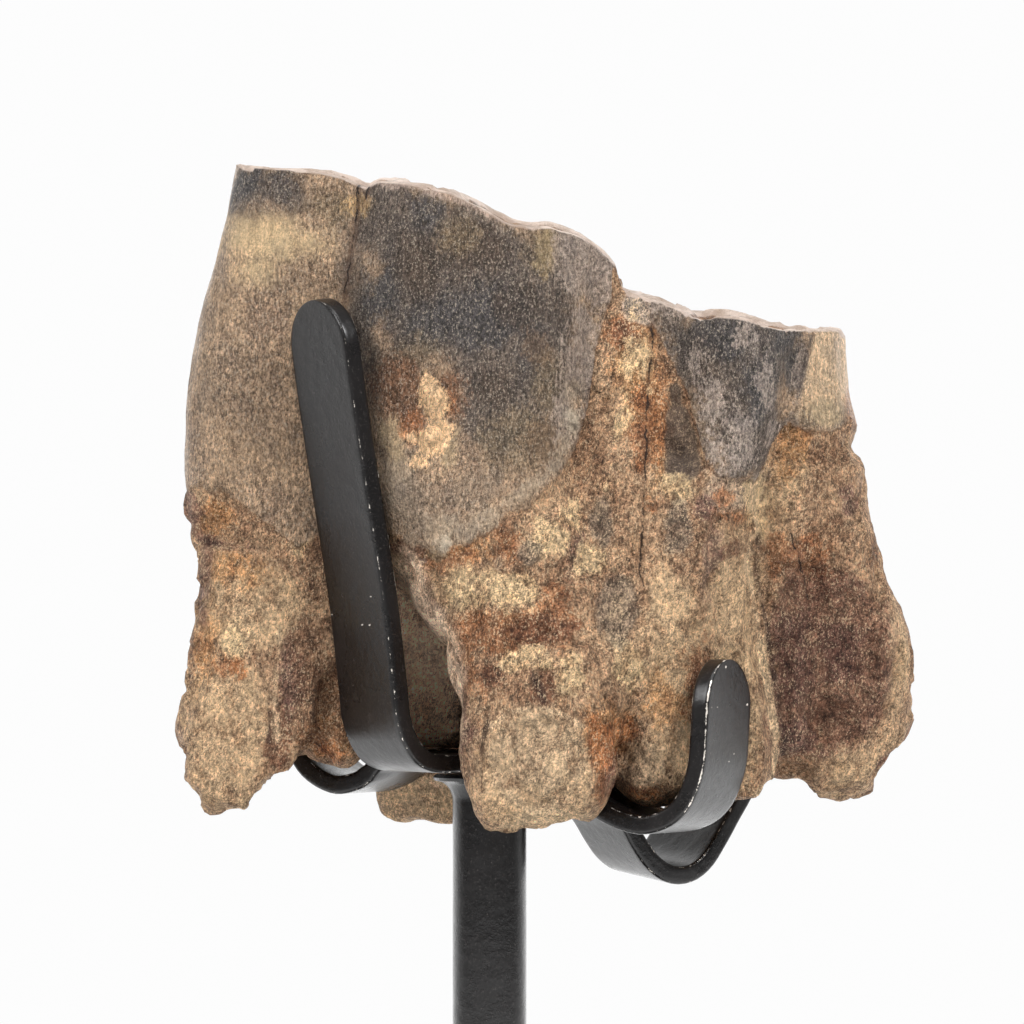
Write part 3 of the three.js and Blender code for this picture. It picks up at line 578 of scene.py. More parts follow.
ROOT_STAINS = [
    stain("pale_cement", (192, 165, 132), [
        (3.8, -0.4, 5, 5.4), (17.5, 3.5, 4.6, 5.5), (-21, 3, 3.6, 6.5),
        (-19.5, 13, 4.5, 3.6), (33.6, 8, 1.2, 8, -6), (30, 0, 3.6, 1.6, 20),
        (22.6, 21.6, 1.8, 3.4), (-2.6, 15.2, 3.6, 2), (14.5, 11, 3, 5),
        (24.6, 24, 1.6, 1.6), (-22.4, 17, 1.4, 1.2),
        (19.7, 13.5, 2.5, 7.6), (-6, -2.6, 3.6, 2.4), (20.2, 25, 1, 0.8),
    ], soft=0.8, ragged=1.6, opacity=0.8, wild=0.45, calm=0.2),
    stain("ochre", (174, 126, 78), [
        (-22.4, 20.4, 1.8, 1.6), (-20.6, 16.4, 2.2, 1.6), (-3.6, 18.4, 4, 1.2, -8),
        (14, 5.6, 1.3, 2.2, 20), (24.3, 26.5, 1.6, 2.6, -10), (-12.9, 2.5, 2.2, 2),
        (11.8, 32.6, 1.8, 3.8, -8), (9.5, 3, 2, 3), (13.6, 27, 0.8, 3.4),
        (-22.8, 10.5, 1, 3),
    ], soft=0.6, ragged=1.4, opacity=0.6, wild=0.3),
    # Iron stains; the oval at (16.9, 6) is painted shadow, cast by the front right hook.
    stain("iron_stain_and_hook_shadow", (146, 96, 61), [
        (-4.1, 17.2, 3, 1.2), (1.4, 18.4, 0.9, 1.8), (1, 11.4, 4.2, 2.2),
        (5.2, 12.6, 1.5, 2.8, 12), (-21.3, 8.6, 1.2, 1), (9.2, 1.4, 1.2, 3),
        (12.6, 28, 2, 3.4), (18.7, 21.4, 1.2, 1.3), (25.6, 17, 1.6, 1.8),
        (16.9, 6, 1, 4), (-2.4, 8.6, 1.6, 3.2, 20), (10.8, 35.4, 1.6, 1.6),
        (23.4, 17.4, 0.8, 2),
    ], soft=0.4, ragged=1.8, opacity=0.7, wild=0.3),
    # Darker iron stains; the oval at (16.9, 4.6) is painted shadow, cast by the front right hook.
    stain("dark_iron_stain_and_hook_shadow", (105, 69, 51), [
        (3.7, 11.5, 2.7, 1.2, 6), (4.1, 7, 0.9, 1.6), (-6.4, 18, 1.7, 0.9),
        (16.9, 4.6, 0.8, 4.4, -4), (20.3, 17.9, 1.2, 0.7), (11, 35.2, 1, 1),
        (26.6, 15.2, 2.8, 1.6, 20), (-17, 3.5, 0.8, 4), (0.2, 8, 1, 1),
    ], soft=0.3, ragged=1.5, opacity=0.8, wild=0.2),
    stain("window", (98, 84, 73), [(15.5, 24.9, 1.5, 1.6)], [
        (0.45, [(14.9, 30.8), (15.1, 28.6)]), (0.95, [(15.1, 28.6), (15.2, 26.8)]),
        (1.3, [(15.35, 26.8), (15.5, 25)]),
    ], soft=0.15, ragged=0.25, opacity=0.9, calm=0.5),
    stain("window_foot", (80, 70, 64), [(15.6, 24.8, 1.3, 1.5)], soft=0.5, opacity=0.6, calm=0.3),
    stain("lobe_foot", (172, 152, 132), [(19.4, 22.4, 2.2, 1.7), (21, 24, 1.2, 1)],
          soft=0.3, ragged=1.8, opacity=0.8),
    stain("chalky", (166, 155, 144), [(12.4, 37.4, 1.8, 1.4, -25)], soft=0.3, ragged=0.8),
    stain("purple", (104, 76, 72), [
        (17.8, 18, 0.5, 2.6, -8), (-2.4, 5.6, 0.9, 4, 6), (-24.2, 21.2, 0.9, 1.9),
        (-23.2, 14.6, 0.6, 3), (-16.1, 7.7, 1.1, 3, 4), (9.6, 0.4, 0.6, 1.8, 8),
        (17.2, 21.2, 0.9, 1.1), (-4.6, 14, 0.7, 2.4, 14), (6.9, 17.6, 0.6, 1.8, -12),
        (28.8, 22, 0.7, 1.4),
    ], [(0.3, [(-23.6, 18.9), (-21.2, 18.3), (-18.5, 18)])],
        soft=0.3, ragged=1.1, opacity=0.7, wild=0.15),
    stain("brown_hollow", (112, 80, 60), [(-13.4, 5, 2.3, 4.6), (-14.9, 9.4, 1.5, 3.2)],
          soft=0.5, opacity=0.7),
    stain("dark_recess", (118, 86, 71), [
        (27.9, 8.4, 5, 7, -8), (25, 3.6, 3, 3.2, -20), (29.5, 12.8, 1.8, 3, 15),
        (24.9, 12.5, 2.2, 4.5),
    ], soft=0.4, ragged=1.8, opacity=0.85, wild=0.1),
    stain("purple_recess", (92, 65, 61), [
        (24.6, 9, 1.5, 4.2), (28.6, 9.8, 2, 2.2), (25.4, 3, 2.2, 1.6),
    ], soft=0.5, ragged=1.8, opacity=0.6),
    # Painted light: a near-white tan in the recess behind the long strip, far paler than its own greyish
    # brown, lifts the shade there.
    stain("recess_painted_light", (240, 214, 188), [(-5.2, 6.5, 2.9, 6.6), (-6.6, 12.5, 1.6, 4.6)],
          soft=0.8, opacity=1, calm=0.4),
    stain("cream_flecks", (206, 182, 144), [
        (1.2, 14.6, 2.7, 1.6, 6), (-2.2, 14.8, 1.3, 1.7), (5, 18.8, 1.4, 1.5),
        (6.6, 20.6, 0.9, 1.2), (2.6, 9.2, 1.9, 0.9, 10), (-4, 18, 0.7, 0.6),
        (21.2, 21.8, 1, 2.3), (15.2, 23, 1.3, 0.8), (12.5, 33.4, 0.8, 1.5), (8, 17, 1.4, 1.6, -35),
        (10.6, 30, 0.5, 3.6, -10), (-14.8, 20, 0.8, 2.7, 6), (10.8, 8.6, 1, 2.4),
        (-20.4, 10.4, 1.4, 1), (6.8, 8.2, 0.9, 1.6),
    ], soft=0.3, ragged=1.7, opacity=0.75, wild=0.2),
    stain("orange_spots", (168, 110, 68), [
        (18.9, 21.9, 0.7, 0.7), (19.9, 20.6, 0.8, 0.6), (8.8, 2.4, 0.9, 2.4, 8),
        (10.6, 3.4, 1.3, 1.3), (13, 21.3, 0.6, 0.6), (-20.4, 8.4, 0.6, 0.6),
        (12.2, -1.4, 1.6, 0.5), (-12.9, 1.4, 1.4, 1),
    ], soft=0.3, ragged=1, opacity=0.7),
    stain("grey_spots", (104, 97, 88), [
        (3.2, 17.6, 0.95, 0.9), (10.4, 13.4, 1.8, 3), (15.2, 19.8, 1.2, 1.9),
        (9, 20, 1, 2), (0.9, 16.9, 0.4, 0.7),
    ], soft=0.2, ragged=0.9, opacity=0.65),
    stain("grey_tan", (180, 158, 131), [(3.9, 1, 3.9, 3.9), (12.3, 0.6, 2, 1.7)],
          soft=0.25, ragged=0.8, opacity=0.7),
    # Painted highlights along the edges of steps, facets and roots.
    stain("painted_rim_highlights", (210, 186, 154), [(4.2, -3.4, 3.2, 0.6, 6)], [
        (0.2, [(0.2, 3.9), (1.6, 5), (3.7, 5.4), (5.6, 5), (7.4, 3.9)]),
        (0.3, [(20.7, 17), (21.6, 12.2), (22.4, 7.3), (23.2, 2.6), (22.9, -0.6), (21.6, -1.8)]),
        (0.25, [(21.2, 23.4), (21.4, 20), (20.8, 17)]), (0.15, [(10.6, 2.2), (12.3, 2.6), (14, 2)]),
        (0.2, [(-17, 11.4), (-17.3, 6.8), (-17.2, 2.6)]),
    ], soft=0.2, ragged=0.5, opacity=0.75),
    # Painted shade in thin lines along the edges of steps, of the enamel and between the columns.
    stain("painted_shade_lines", (60, 40, 36), [], [
        (0.12, [(-24.6, 22.9), (-23, 22.8), (-21.4, 21.9)]), (0.1, [(-23.4, 18.7), (-21, 18.2)]),
        (0.2, [(21.6, 19), (21.5, 16), (22.3, 12.2), (23.1, 7.3), (23.9, 2.6), (23.7, 0)]),
        (0.12, [(-17.6, 9.6), (-17.8, 2.4)]),
        (0.1, [(24, 28.4), (22.6, 24.4), (21.9, 21.8)]), (0.3, [(3.4, 8.3), (4.3, 6)]),
        (0.1, [(-6.4, 17.4), (-3.9, 17), (-1.4, 17.8)]), (0.12, [(0.2, 5.2), (-0.6, 2.4), (-0.6, -1.4)]),
        (0.1, [(7.9, 3.4), (8.2, 0.4), (7.8, -2.6)]), (0.1, [(10.3, 1.8), (10.2, 0.4), (10.9, -0.8)]),
    ], soft=0.15, ragged=0.4, opacity=0.8),
]
ENAMEL_STAINS = [
    # Pale enamel; the tall thin oval along the left edge, at (-23.4, 33), is a painted highlight.
    stain("pale_enamel_and_edge_highlight", (178, 152, 124), [
        (-21.5, 40, 2.4, 4, 10), (-19.8, 25.5, 4.2, 2.4), (-14.5, 37, 1.4, 3),
        (-23.4, 33, 0.8, 9, 6),
    ], soft=1.4, ragged=1.6, opacity=0.7, wild=0.5, calm=0.2),
    stain("mottled_grey", (104, 90, 76), [
        (-20.6, 31.4, 3.2, 3), (-18, 27.5, 1.6, 1.6), (-22.6, 36.6, 0.7, 3, 10),
        (-13.6, 46.2, 3.4, 1.5), (-15.6, 40, 1.4, 1.4),
    ], soft=1.4, ragged=2.4, opacity=0.35, wild=0.4),
    stain("yellow_cream", (210, 186, 148), [
        (-18.2, 43.2, 3.2, 1.9, -8), (-14.8, 42.6, 1.4, 0.9, -10), (-18.8, 40.6, 1.4, 1),
    ], soft=1.3, ragged=1.2, opacity=0.85, wild=0.1, calm=0.7),
    stain("slate", (92, 83, 77), [
        (-18.6, 47, 3, 1.9, -4), (-7.6, 43.8, 3.4, 4.2), (-1.8, 41.5, 6.2, 4.6, -14),
        (1.6, 35.5, 6, 7.4), (-6, 37.8, 3.6, 5.2, 8), (1.8, 29.5, 4.4, 4.2),
        (20, 33.8, 5.6, 4.6), (20.6, 28, 3.4, 4.6, 8), (6.2, 39.5, 1.8, 3.6),
        (14.6, 36.6, 1.6, 1.6), (-10.4, 37, 1.6, 5),
    ], soft=1, ragged=2.2, opacity=0.95, wild=0.5),
    stain("blue_slate", (65, 66, 70), [
        (-4.8, 44.8, 2, 1.6, -14), (-8.6, 38.6, 1.4, 3), (-0.4, 36.6, 3.6, 2.6),
        (3.6, 34, 1.8, 2.6), (-4.8, 35.8, 2.2, 1.8), (18.4, 34.8, 3, 2),
        (-19, 47.4, 1.6, 0.9), (21.6, 31, 1.8, 3, 12), (7.2, 32.6, 1, 3.4, 6),
        (24.2, 33.6, 1.2, 2.6, 14),
    ], soft=0.8, ragged=2.4, opacity=0.7, wild=0.3),
    stain("dark_brown", (70, 57, 47), [
        (-1.2, 42.2, 3, 2, -14), (-5.8, 41, 1.8, 2.4), (2.6, 37.6, 1.8, 1.6),
        (17.2, 32.6, 1.2, 2.6, 20), (-7.6, 33, 0.9, 2), (0.6, 31.2, 1.6, 1.6),
        (6.6, 41.6, 0.7, 1), (5.6, 37.4, 0.9, 1.6),
    ], soft=0.7, ragged=2.2, opacity=0.6, wild=0.25),
    stain("olive_brown", (122, 106, 84), [
        (4.2, 42.2, 1.3, 2), (2.4, 26.4, 3.4, 2.6, 12), (4.8, 31, 1.4, 2.6),
        (-5.6, 33.6, 1.6, 1), (-12.4, 45.4, 1.6, 1.4), (-2.6, 43.4, 1.4, 1.6),
    ], soft=0.8, ragged=1.6, opacity=0.65, wild=0.2),
    stain("olive_cream", (160, 141, 108), [(4.4, 42, 0.9, 1.9)],
          soft=0.4, ragged=1.2, opacity=0.7, calm=0.4),
    stain("brown_mottle", (116, 92, 70), [
        (4.4, 26.6, 1.5, 1.8), (3.8, 34, 1.4, 1.4), (0.4, 22.6, 1.6, 0.9),
    ], soft=0.6, ragged=1.4, opacity=0.5, calm=0.3),
    stain("worn_band", (184, 164, 152), [], [
        (0.45, [(-8.5, 47.6), (-6.2, 47.2), (-3.5, 46.4), (-1.4, 45.6), (0.1, 44.8),
                (1.8, 44.1), (3.6, 43.9)]),
    ], soft=0.4, ragged=0.9, opacity=0.8, calm=0.45),
    # Painted sheen: pale grey on the enamel's flanks where they turn to the side.
    stain("flank_painted_sheen", (158, 144, 134), [
        (7.9, 40.5, 2.5, 3.6, 12), (7.3, 34.2, 1.4, 4.6), (6.4, 28.6, 1.1, 3, -6),
        (13.3, 37.7, 2.2, 0.9, -8), (24.9, 30.6, 0.4, 2.6, -12),
    ], soft=0.5, ragged=2, opacity=0.85, wild=0.2, calm=0.25),
    stain("pale_streaks", (168, 155, 146), [
        (18.2, 29.4, 0.8, 2.4, 12), (20.4, 27.4, 0.7, 2.4, 10), (17.4, 31.6, 0.4, 1.4, 14),
        (18.8, 25.6, 1.3, 1.4), (22.6, 29.4, 0.4, 2.4, 12), (21.2, 32.6, 0.3, 1.4, 16),
    ], soft=0.4, ragged=2.6, opacity=0.65, calm=0.1),
    stain("smoky_border", (168, 152, 132), [(-3.6, 19.6, 1.8, 1.5), (-7, 23, 1.2, 2.6)], [
        (0.55, [(-3.9, 18.2), (-1.6, 19.4), (0.8, 21.3), (3.1, 22.8), (4.7, 24.1), (5.9, 26),
                (6.5, 28.2), (6.9, 31)]), (0.5, [(-3.6, 19.2), (-3.4, 18)]),
    ], soft=0.4, ragged=1.3, opacity=0.75, calm=0.35),
    stain("pale_patches", (190, 178, 160), [(6.6, 28.4, 0.6, 1.1), (-3.5, 18.6, 0.7, 0.7)],
          soft=0.3, ragged=0.6, calm=0.5),
    stain("grey_tongue", (136, 121, 106), [(-6.2, 21.4, 1.8, 2.8), (-1.2, 22.6, 2.6, 1.4, 24)],
          soft=0.8, ragged=1.2, opacity=0.7),
    stain("brown_halo", (110, 78, 57), [(-7.2, 30.6, 2.2, 2.8), (-3.4, 30.4, 1.4, 2.4)],
          soft=0.6, ragged=1.6, opacity=0.85),
    stain("pale_wings", (172, 152, 122), [(-7.7, 26.7, 0.8, 1.6, 20), (-3.1, 26, 0.6, 1.5, -15)],
          soft=0.35, ragged=0.9, opacity=0.75, calm=0.4),
    stain("orange_halo", (164, 108, 70), [(-5.9, 27.7, 0.9, 1.4, -30), (-3.2, 29.2, 0.35, 1.1)],
          soft=0.3, ragged=0.8, opacity=0.75),
    stain("cream_lumps", (234, 198, 156), [
        (-4.7, 31.2, 0.6, 1.1, 12), (-4.2, 29.4, 1.1, 1.4), (-4.3, 26.9, 1.2, 1.7, -32),
        (-5.6, 24.9, 0.8, 0.7), (-6.2, 26.9, 0.4, 0.4),
    ], soft=0.2, ragged=0.9, opacity=0.95, calm=0.3),
    stain("yellow_spot", (188, 158, 114), [(-10.7, 45.6, 1, 0.8)], ragged=0.9, opacity=0.6),
    stain("pale_lobe", (206, 180, 149), [], [(2.1, [(28.2, 34.6), (27.2, 30.2)])],
          soft=0.2, ragged=0.4, opacity=0.95, calm=0.3),
    stain("brown_lump", (150, 112, 86), [(30.6, 29.2, 2, 3.6)], soft=0.2, ragged=0.5),
    stain("green_lobe", (160, 145, 118), [(26.9, 29, 2, 0.9)], soft=0.5, ragged=0.8, opacity=0.6),
    stain("dark_cuts", (52, 40, 36), [], [
        (0.12, [(26, 35.6), (25.2, 31.6), (24.4, 28.6)]), (0.14, [(6.1, 28.2), (6.9, 27.8)]),
        (0.12, [(6.4, 31.6), (7.4, 30.2)]), (0.1, [(5.4, 41.4), (5.9, 40.2)]),
        (0.12, [(19.8, 33.2), (20.8, 30.4)]), (0.12, [(22, 34.6), (21.4, 32.4)]),
        (0.1, [(0.6, 44.6), (0.2, 41)]),
    ], soft=0.15, ragged=0.6, opacity=0.75),
]
ALL_STAINS = ROOT_STAINS + ENAMEL_STAINS


def stain_field(entry, number, points):
    """A stain where it is drawn, and its scattered patches on the sides that its drawing can't reach."""
    x, y, z = points.T
    seen = np.maximum(blot_field(x, z, entry["blots"]), stroke_field(x, z, entry["strokes"]))
    above_tips = smoothstep(z, -1, 0.5)
    seen = seen - 0.6 * np.maximum(0, y - 1) * above_tips
    patches = 3.5 * (layered(points, (8, 8, 9), 3, 100 + 7 * number) - 0.9 + 1.3 * entry["wild"])
    hidden = patches if entry["wild"] else np.full(x.shape, -FAR)
    return lerp(seen, hidden, smoothstep(y, 0, 4) * above_tips)


def set_attribute(mesh, name, values):
    made = mesh.attributes.new(name, "FLOAT", "POINT")
    made.data.foreach_set("value", np.ascontiguousarray(values, np.float32))


def mesh_piece(name, points, faces, material):
    """A piece in millimetres, from the frame's origin, with a material."""
    mesh = bpy.data.meshes.new(name)
    mesh.from_pydata((np.asarray(points, float) * MM).tolist(), [], [list(map(int, f)) for f in faces])
    mesh.polygons.foreach_set("use_smooth", [True] * len(mesh.polygons))
    mesh.materials.append(material)
    mesh.update()
    piece = bpy.data.objects.new(name, mesh)
    bpy.context.scene.collection.objects.link(piece)
    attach(piece, "root")
    return piece


def make_tooth(material):
    """The tooth's mesh, with the attributes that its material reads."""
    points, quads = surface_nets(tooth_field, TOOTH_LOW, TOOTH_HIGH, TOOTH_CELL)
    points, normals = settle(tooth_field, points)
    points = points + normals * relief(points, normals)[:, None]
    x, y, z = points.T
    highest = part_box("tooth")[1].z / MM - CRADLE_Z
    points[:, 2] = np.minimum(z, highest - 0.01)  # no higher than the frame's tooth
    placed = points + np.array((0, 0, CRADLE_Z))
    tooth = mesh_piece("fossil_tooth", placed, quads, material)
    # How enclosed each point is, which the material darkens as painted shade.
    hollow = 1 - tooth_field(*(points + HOLLOW_REACH * normals).T) / HOLLOW_REACH
    set_attribute(tooth.data, "hollow", np.clip(hollow, -1, 1))
    set_attribute(tooth.data, "above_border", above_border(x, y, z))
    for number, (_, line) in enumerate(CRACKS):
        set_attribute(tooth.data, f"crack_{number}", along(line, z))
    set_attribute(tooth.data, "from_top", along(TOP_OUTLINE, x) - z)
    set_attribute(tooth.data, "within", -side_field(x, y, z))
    set_attribute(tooth.data, "facing_up", normals[:, 2])
    for number, entry in enumerate(ALL_STAINS):
        set_attribute(tooth.data, "stain_" + entry["name"], stain_field(entry, number, points))
    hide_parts("tooth")


# ---- Node trees ----


def linear(colour):
    """A colour from 0 to 255 as a screen shows it, turned into linear light."""
    parts = [c / 255 for c in colour]
    return [c / 12.92 if c <= 0.04045 else ((c + 0.055) / 1.055) ** 2.4 for c in parts] + [1.0]


class Graph:
    """A material's node tree, written one call a node."""

    def __init__(self, name):
        self.material = bpy.data.materials.new(name)
        self.material.use_nodes = True
        self.nodes = self.material.node_tree.nodes
        self.links = self.material.node_tree.links
        self.shader = self.nodes["Principled BSDF"]
        place = self.nodes.new("ShaderNodeTexCoord").outputs["Object"]
        self.place = self.vector("SCALE", place, Scale=1 / MM)  # millimetres
        split = self.nodes.new("ShaderNodeSeparateXYZ")
        self.links.new(self.place, split.inputs[0])
        self.x, self.y, self.z = split.outputs

    def connect(self, socket, value):
        if isinstance(value, bpy.types.NodeSocket):
            self.links.new(value, socket)
        else:
            socket.default_value = value

    def vector(self, operation, a, b=None, **named):
        node = self.nodes.new("ShaderNodeVectorMath")
        node.operation = operation
        self.connect(node.inputs[0], a)
        if b is not None:
            self.connect(node.inputs[1], b)
        for key, value in named.items():
            self.connect(node.inputs[key], value)
        return node.outputs["Value" if operation == "LENGTH" else "Vector"]

    def math(self, operation, a, b=0.0):
        node = self.nodes.new("ShaderNodeMath")
        node.operation = operation
        self.connect(node.inputs[0], a)
        self.connect(node.inputs[1], b)
        return node.outputs[0]

    def attribute(self, name):
        node = self.nodes.new("ShaderNodeAttribute")
        node.attribute_name = name
        return node.outputs["Fac"]

    def noise(self, size, detail=4, roughness=0.55, shift=(0, 0, 0)):
        """Noise from 0 to 1. size is its wavelength in millimetres, one value or one for each axis."""
        sizes = size if isinstance(size, tuple) else (size,) * 3
        node = self.nodes.new("ShaderNodeTexNoise")
        scaled = self.vector("ADD", self.place, shift)
        scaled = self.vector("MULTIPLY", scaled, tuple(1 / s for s in sizes))
        self.connect(node.inputs["Vector"], scaled)
        node.inputs["Scale"].default_value = 1.0
        node.inputs["Detail"].default_value = detail
        node.inputs["Roughness"].default_value = roughness
        return node.outputs["Fac"]

    def cells(self, size):
        """Packed grains of a size along each axis, each with its own value from 0 to 1."""
        node = self.nodes.new("ShaderNodeTexVoronoi")
        scaled = self.vector("MULTIPLY", self.place, tuple(1 / s for s in size))
        self.connect(node.inputs["Vector"], scaled)
        node.inputs["Scale"].default_value = 1.0
        split = self.nodes.new("ShaderNodeSeparateColor")
        self.links.new(node.outputs["Color"], split.inputs[0])
        return split.outputs[0]

    def between(self, value, low, high, to_low=0.0, to_high=1.0):
        node = self.nodes.new("ShaderNodeMapRange")
        node.interpolation_type = "SMOOTHSTEP"
        self.connect(node.inputs["Value"], value)
        self.connect(node.inputs["From Min"], low)
        self.connect(node.inputs["From Max"], high)
        self.connect(node.inputs["To Min"], to_low)
        self.connect(node.inputs["To Max"], to_high)
        return node.outputs["Result"]

    def mix(self, amount, a, b, blend="MIX"):
        node = self.nodes.new("ShaderNodeMix")
        node.data_type = "RGBA"
        node.blend_type = blend
        self.connect(node.inputs["Factor"], amount)
        self.connect(node.inputs[6], a)
        self.connect(node.inputs[7], b)
        return node.outputs[2]

    def bump(self, height, distance, normal=None):
        """Relief in the shading: height from 0 to 1 times a distance in millimetres."""
        node = self.nodes.new("ShaderNodeBump")
        node.inputs["Distance"].default_value = distance * MM
        self.connect(node.inputs["Height"], height)
        if normal is not None:
            self.connect(node.inputs["Normal"], normal)
        return node.outputs["Normal"]

    def finish(self, colour, roughness, normal, metallic=0.0, specular=0.5):
        self.connect(self.shader.inputs["Base Color"], colour)
        self.connect(self.shader.inputs["Roughness"], roughness)
        self.connect(self.shader.inputs["Normal"], normal)
        self.connect(self.shader.inputs["Metallic"], metallic)
        self.shader.inputs["Specular IOR Level"].default_value = specular
        return self.material


def centred(graph, value, reach):
    """A noise from 0 to 1 turned into one from -reach to reach."""
    return graph.math("MULTIPLY", graph.math("SUBTRACT", value, 0.5), 2 * reach)


def stained(graph, colour, stains, cloud, patchy):
    """The stains laid over a colour, and how much of the grain they hide.

    cloud moves the stains' edges, and patchy breaks them up.
    """
    jitter = graph.math("ADD", centred(graph, cloud, 1.5), centred(graph, patchy, 0.7))
    calm = 0.0
    for entry in stains:
        field = graph.math("ADD", graph.attribute("stain_" + entry["name"]),
                           graph.math("MULTIPLY", jitter, entry["ragged"]))
        cover = graph.between(field, -entry["soft"], entry["soft"])
        colour = graph.mix(graph.math("MULTIPLY", cover, entry["opacity"]), colour,
                           linear(entry["colour"]))
        if entry["calm"]:
            calm = graph.math("MAXIMUM", calm, graph.math("MULTIPLY", cover, entry["calm"]))
    return colour, calm


def tinted(graph, colour, value, low, high, tint):
    """A colour multiplied by a tint, more and more from low to high of a value."""
    return graph.mix(graph.between(value, low, high), colour, graph.mix(1.0, colour, tint, "MULTIPLY"))


def grained(graph, colour, calm, patchy, grit, size, stretch, contrast, fleck, flecks):
    """Light and shade of packed grains, with pale flecks, partly painted glints and partly pale dust,
    and dark gaps between them.

    A grain is size wide and stretch times as tall. flecks is how much a fleck covers, from 0 to 1.
    """
    coarse = graph.cells((size, size, size * stretch))
    fine = graph.cells((0.6 * size, 0.6 * size, 0.6 * size * stretch))
    shade = graph.between(patchy, 0.38, 0.62, 1 - contrast, 1 + contrast)
    for cell, reach in ((coarse, 0.65 * contrast), (fine, 0.45 * contrast)):
        shade = graph.math("MULTIPLY", shade, graph.between(cell, 0, 1, 1 - reach, 1 + reach))
    grains = graph.mix(1.0, colour, shade, "MULTIPLY")
    # Pale flecks, partly painted glints and partly pale dust.
    grains = graph.mix(graph.between(grit, 0.57, 0.61, 0, flecks), grains, linear(fleck))
    grains = tinted(graph, grains, grit, 0.43, 0.39, (0.4, 0.35, 0.32, 1))
    return graph.mix(calm, grains, colour)


def root_colour(graph, cloud, grit):
    """Tan cement and dentine, as granular as sandstone."""
    broad = graph.noise((5, 5, 7), 4, 0.6)
    blotch = graph.noise((1.7, 1.7, 2.1), 5, 0.72)
    patchy = graph.noise((0.45, 0.45, 0.6), 5, 0.8)
    tan = graph.mix(graph.between(broad, 0.38, 0.62), linear((142, 111, 86)), linear((168, 138, 110)))
    tan, calm = stained(graph, tan, ROOT_STAINS, cloud, patchy)
    tan = tinted(graph, tan, blotch, 0.52, 0.59, (1.2, 1.18, 1.14, 1))
    tan = tinted(graph, tan, blotch, 0.48, 0.41, (0.76, 0.7, 0.67, 1))
    grit = graph.math("ADD", grit, centred(graph, blotch, 0.2))
    return grained(graph, tan, calm, patchy, grit, 0.22, 1.5, 0.46, (214, 190, 158), 0.62)


def enamel_colour(graph, cloud, grit):
    """Beige to slate enamel, finely granular with short upright dashes."""
    patchy = graph.noise((0.26, 0.26, 0.5), 4, 0.8)
    broad = graph.noise((1.9, 1.9, 2.8), 6, 0.66)
    striae = graph.noise((0.35, 0.35, 4.5), 3, 0.65)
    beige = graph.mix(graph.between(broad, 0.38, 0.62), linear((152, 128, 106)), linear((168, 144, 120)))
    colour, calm = stained(graph, beige, ENAMEL_STAINS, cloud, patchy)
    colour = tinted(graph, colour, broad, 0.5, 0.62, (1.12, 1.1, 1.08, 1))
    colour = tinted(graph, colour, broad, 0.5, 0.38, (0.84, 0.85, 0.88, 1))
    colour = tinted(graph, colour, striae, 0.46, 0.38, (0.8, 0.78, 0.77, 1))
    grit = graph.math("ADD", grit, centred(graph, patchy, 0.06))
    return grained(graph, colour, calm, patchy, grit, 0.17, 2.0, 0.43, (192, 180, 164), 0.5)


def crack_distance(graph):
    """Distance to the nearest crack in millimetres, a little larger past a crack's ends."""
    wander = centred(graph, graph.noise(1.0, 5, 0.65), 0.4)
    nearest = FAR
    for number, (side, line) in enumerate(CRACKS):
        across = graph.math("SUBTRACT", graph.x, graph.attribute(f"crack_{number}"))
        across = graph.math("ABSOLUTE", graph.math("ADD", across, wander))
        below = graph.math("SUBTRACT", line[0][0] + CRADLE_Z, graph.z)
        above = graph.math("SUBTRACT", graph.z, line[-1][0] + CRADLE_Z)
        behind = graph.math("SUBTRACT", 2.0, graph.math("MULTIPLY", graph.y, side))
        past = graph.math("MAXIMUM", graph.math("MAXIMUM", below, above), behind)
        past = graph.math("MULTIPLY", graph.math("MAXIMUM", past, 0.0), 0.2)
        nearest = graph.math("MINIMUM", graph.math("ADD", across, past), nearest)
    return nearest


def worn_colour(graph, cloud):
    """The worn top: a pale enamel rim round brown granular dentine."""
    rim = graph.mix(graph.between(cloud, 0.42, 0.58), linear((188, 168, 154)), linear((224, 208, 198)))
    grain = graph.noise(0.8, 5, 0.8)
    core = graph.mix(graph.between(grain, 0.42, 0.58), linear((96, 72, 56)), linear((164, 130, 100)))
    within = graph.math("ADD", graph.attribute("within"), centred(graph, cloud, 0.9))
    return graph.mix(graph.between(within, ENAMEL_WIDTH, ENAMEL_WIDTH + 0.3), rim, core)


# The wavelengths of the finest grain, and how far a grain's painted lit side is from its painted shaded
# side.
GRIT = (0.16, 0.16, 0.24)
LEDGE_SHIFT = (-0.05, 0, 0.075)
WARMTH = (1.13, 1.085, 1.03, 1)  # the last correction of the fossil's colour


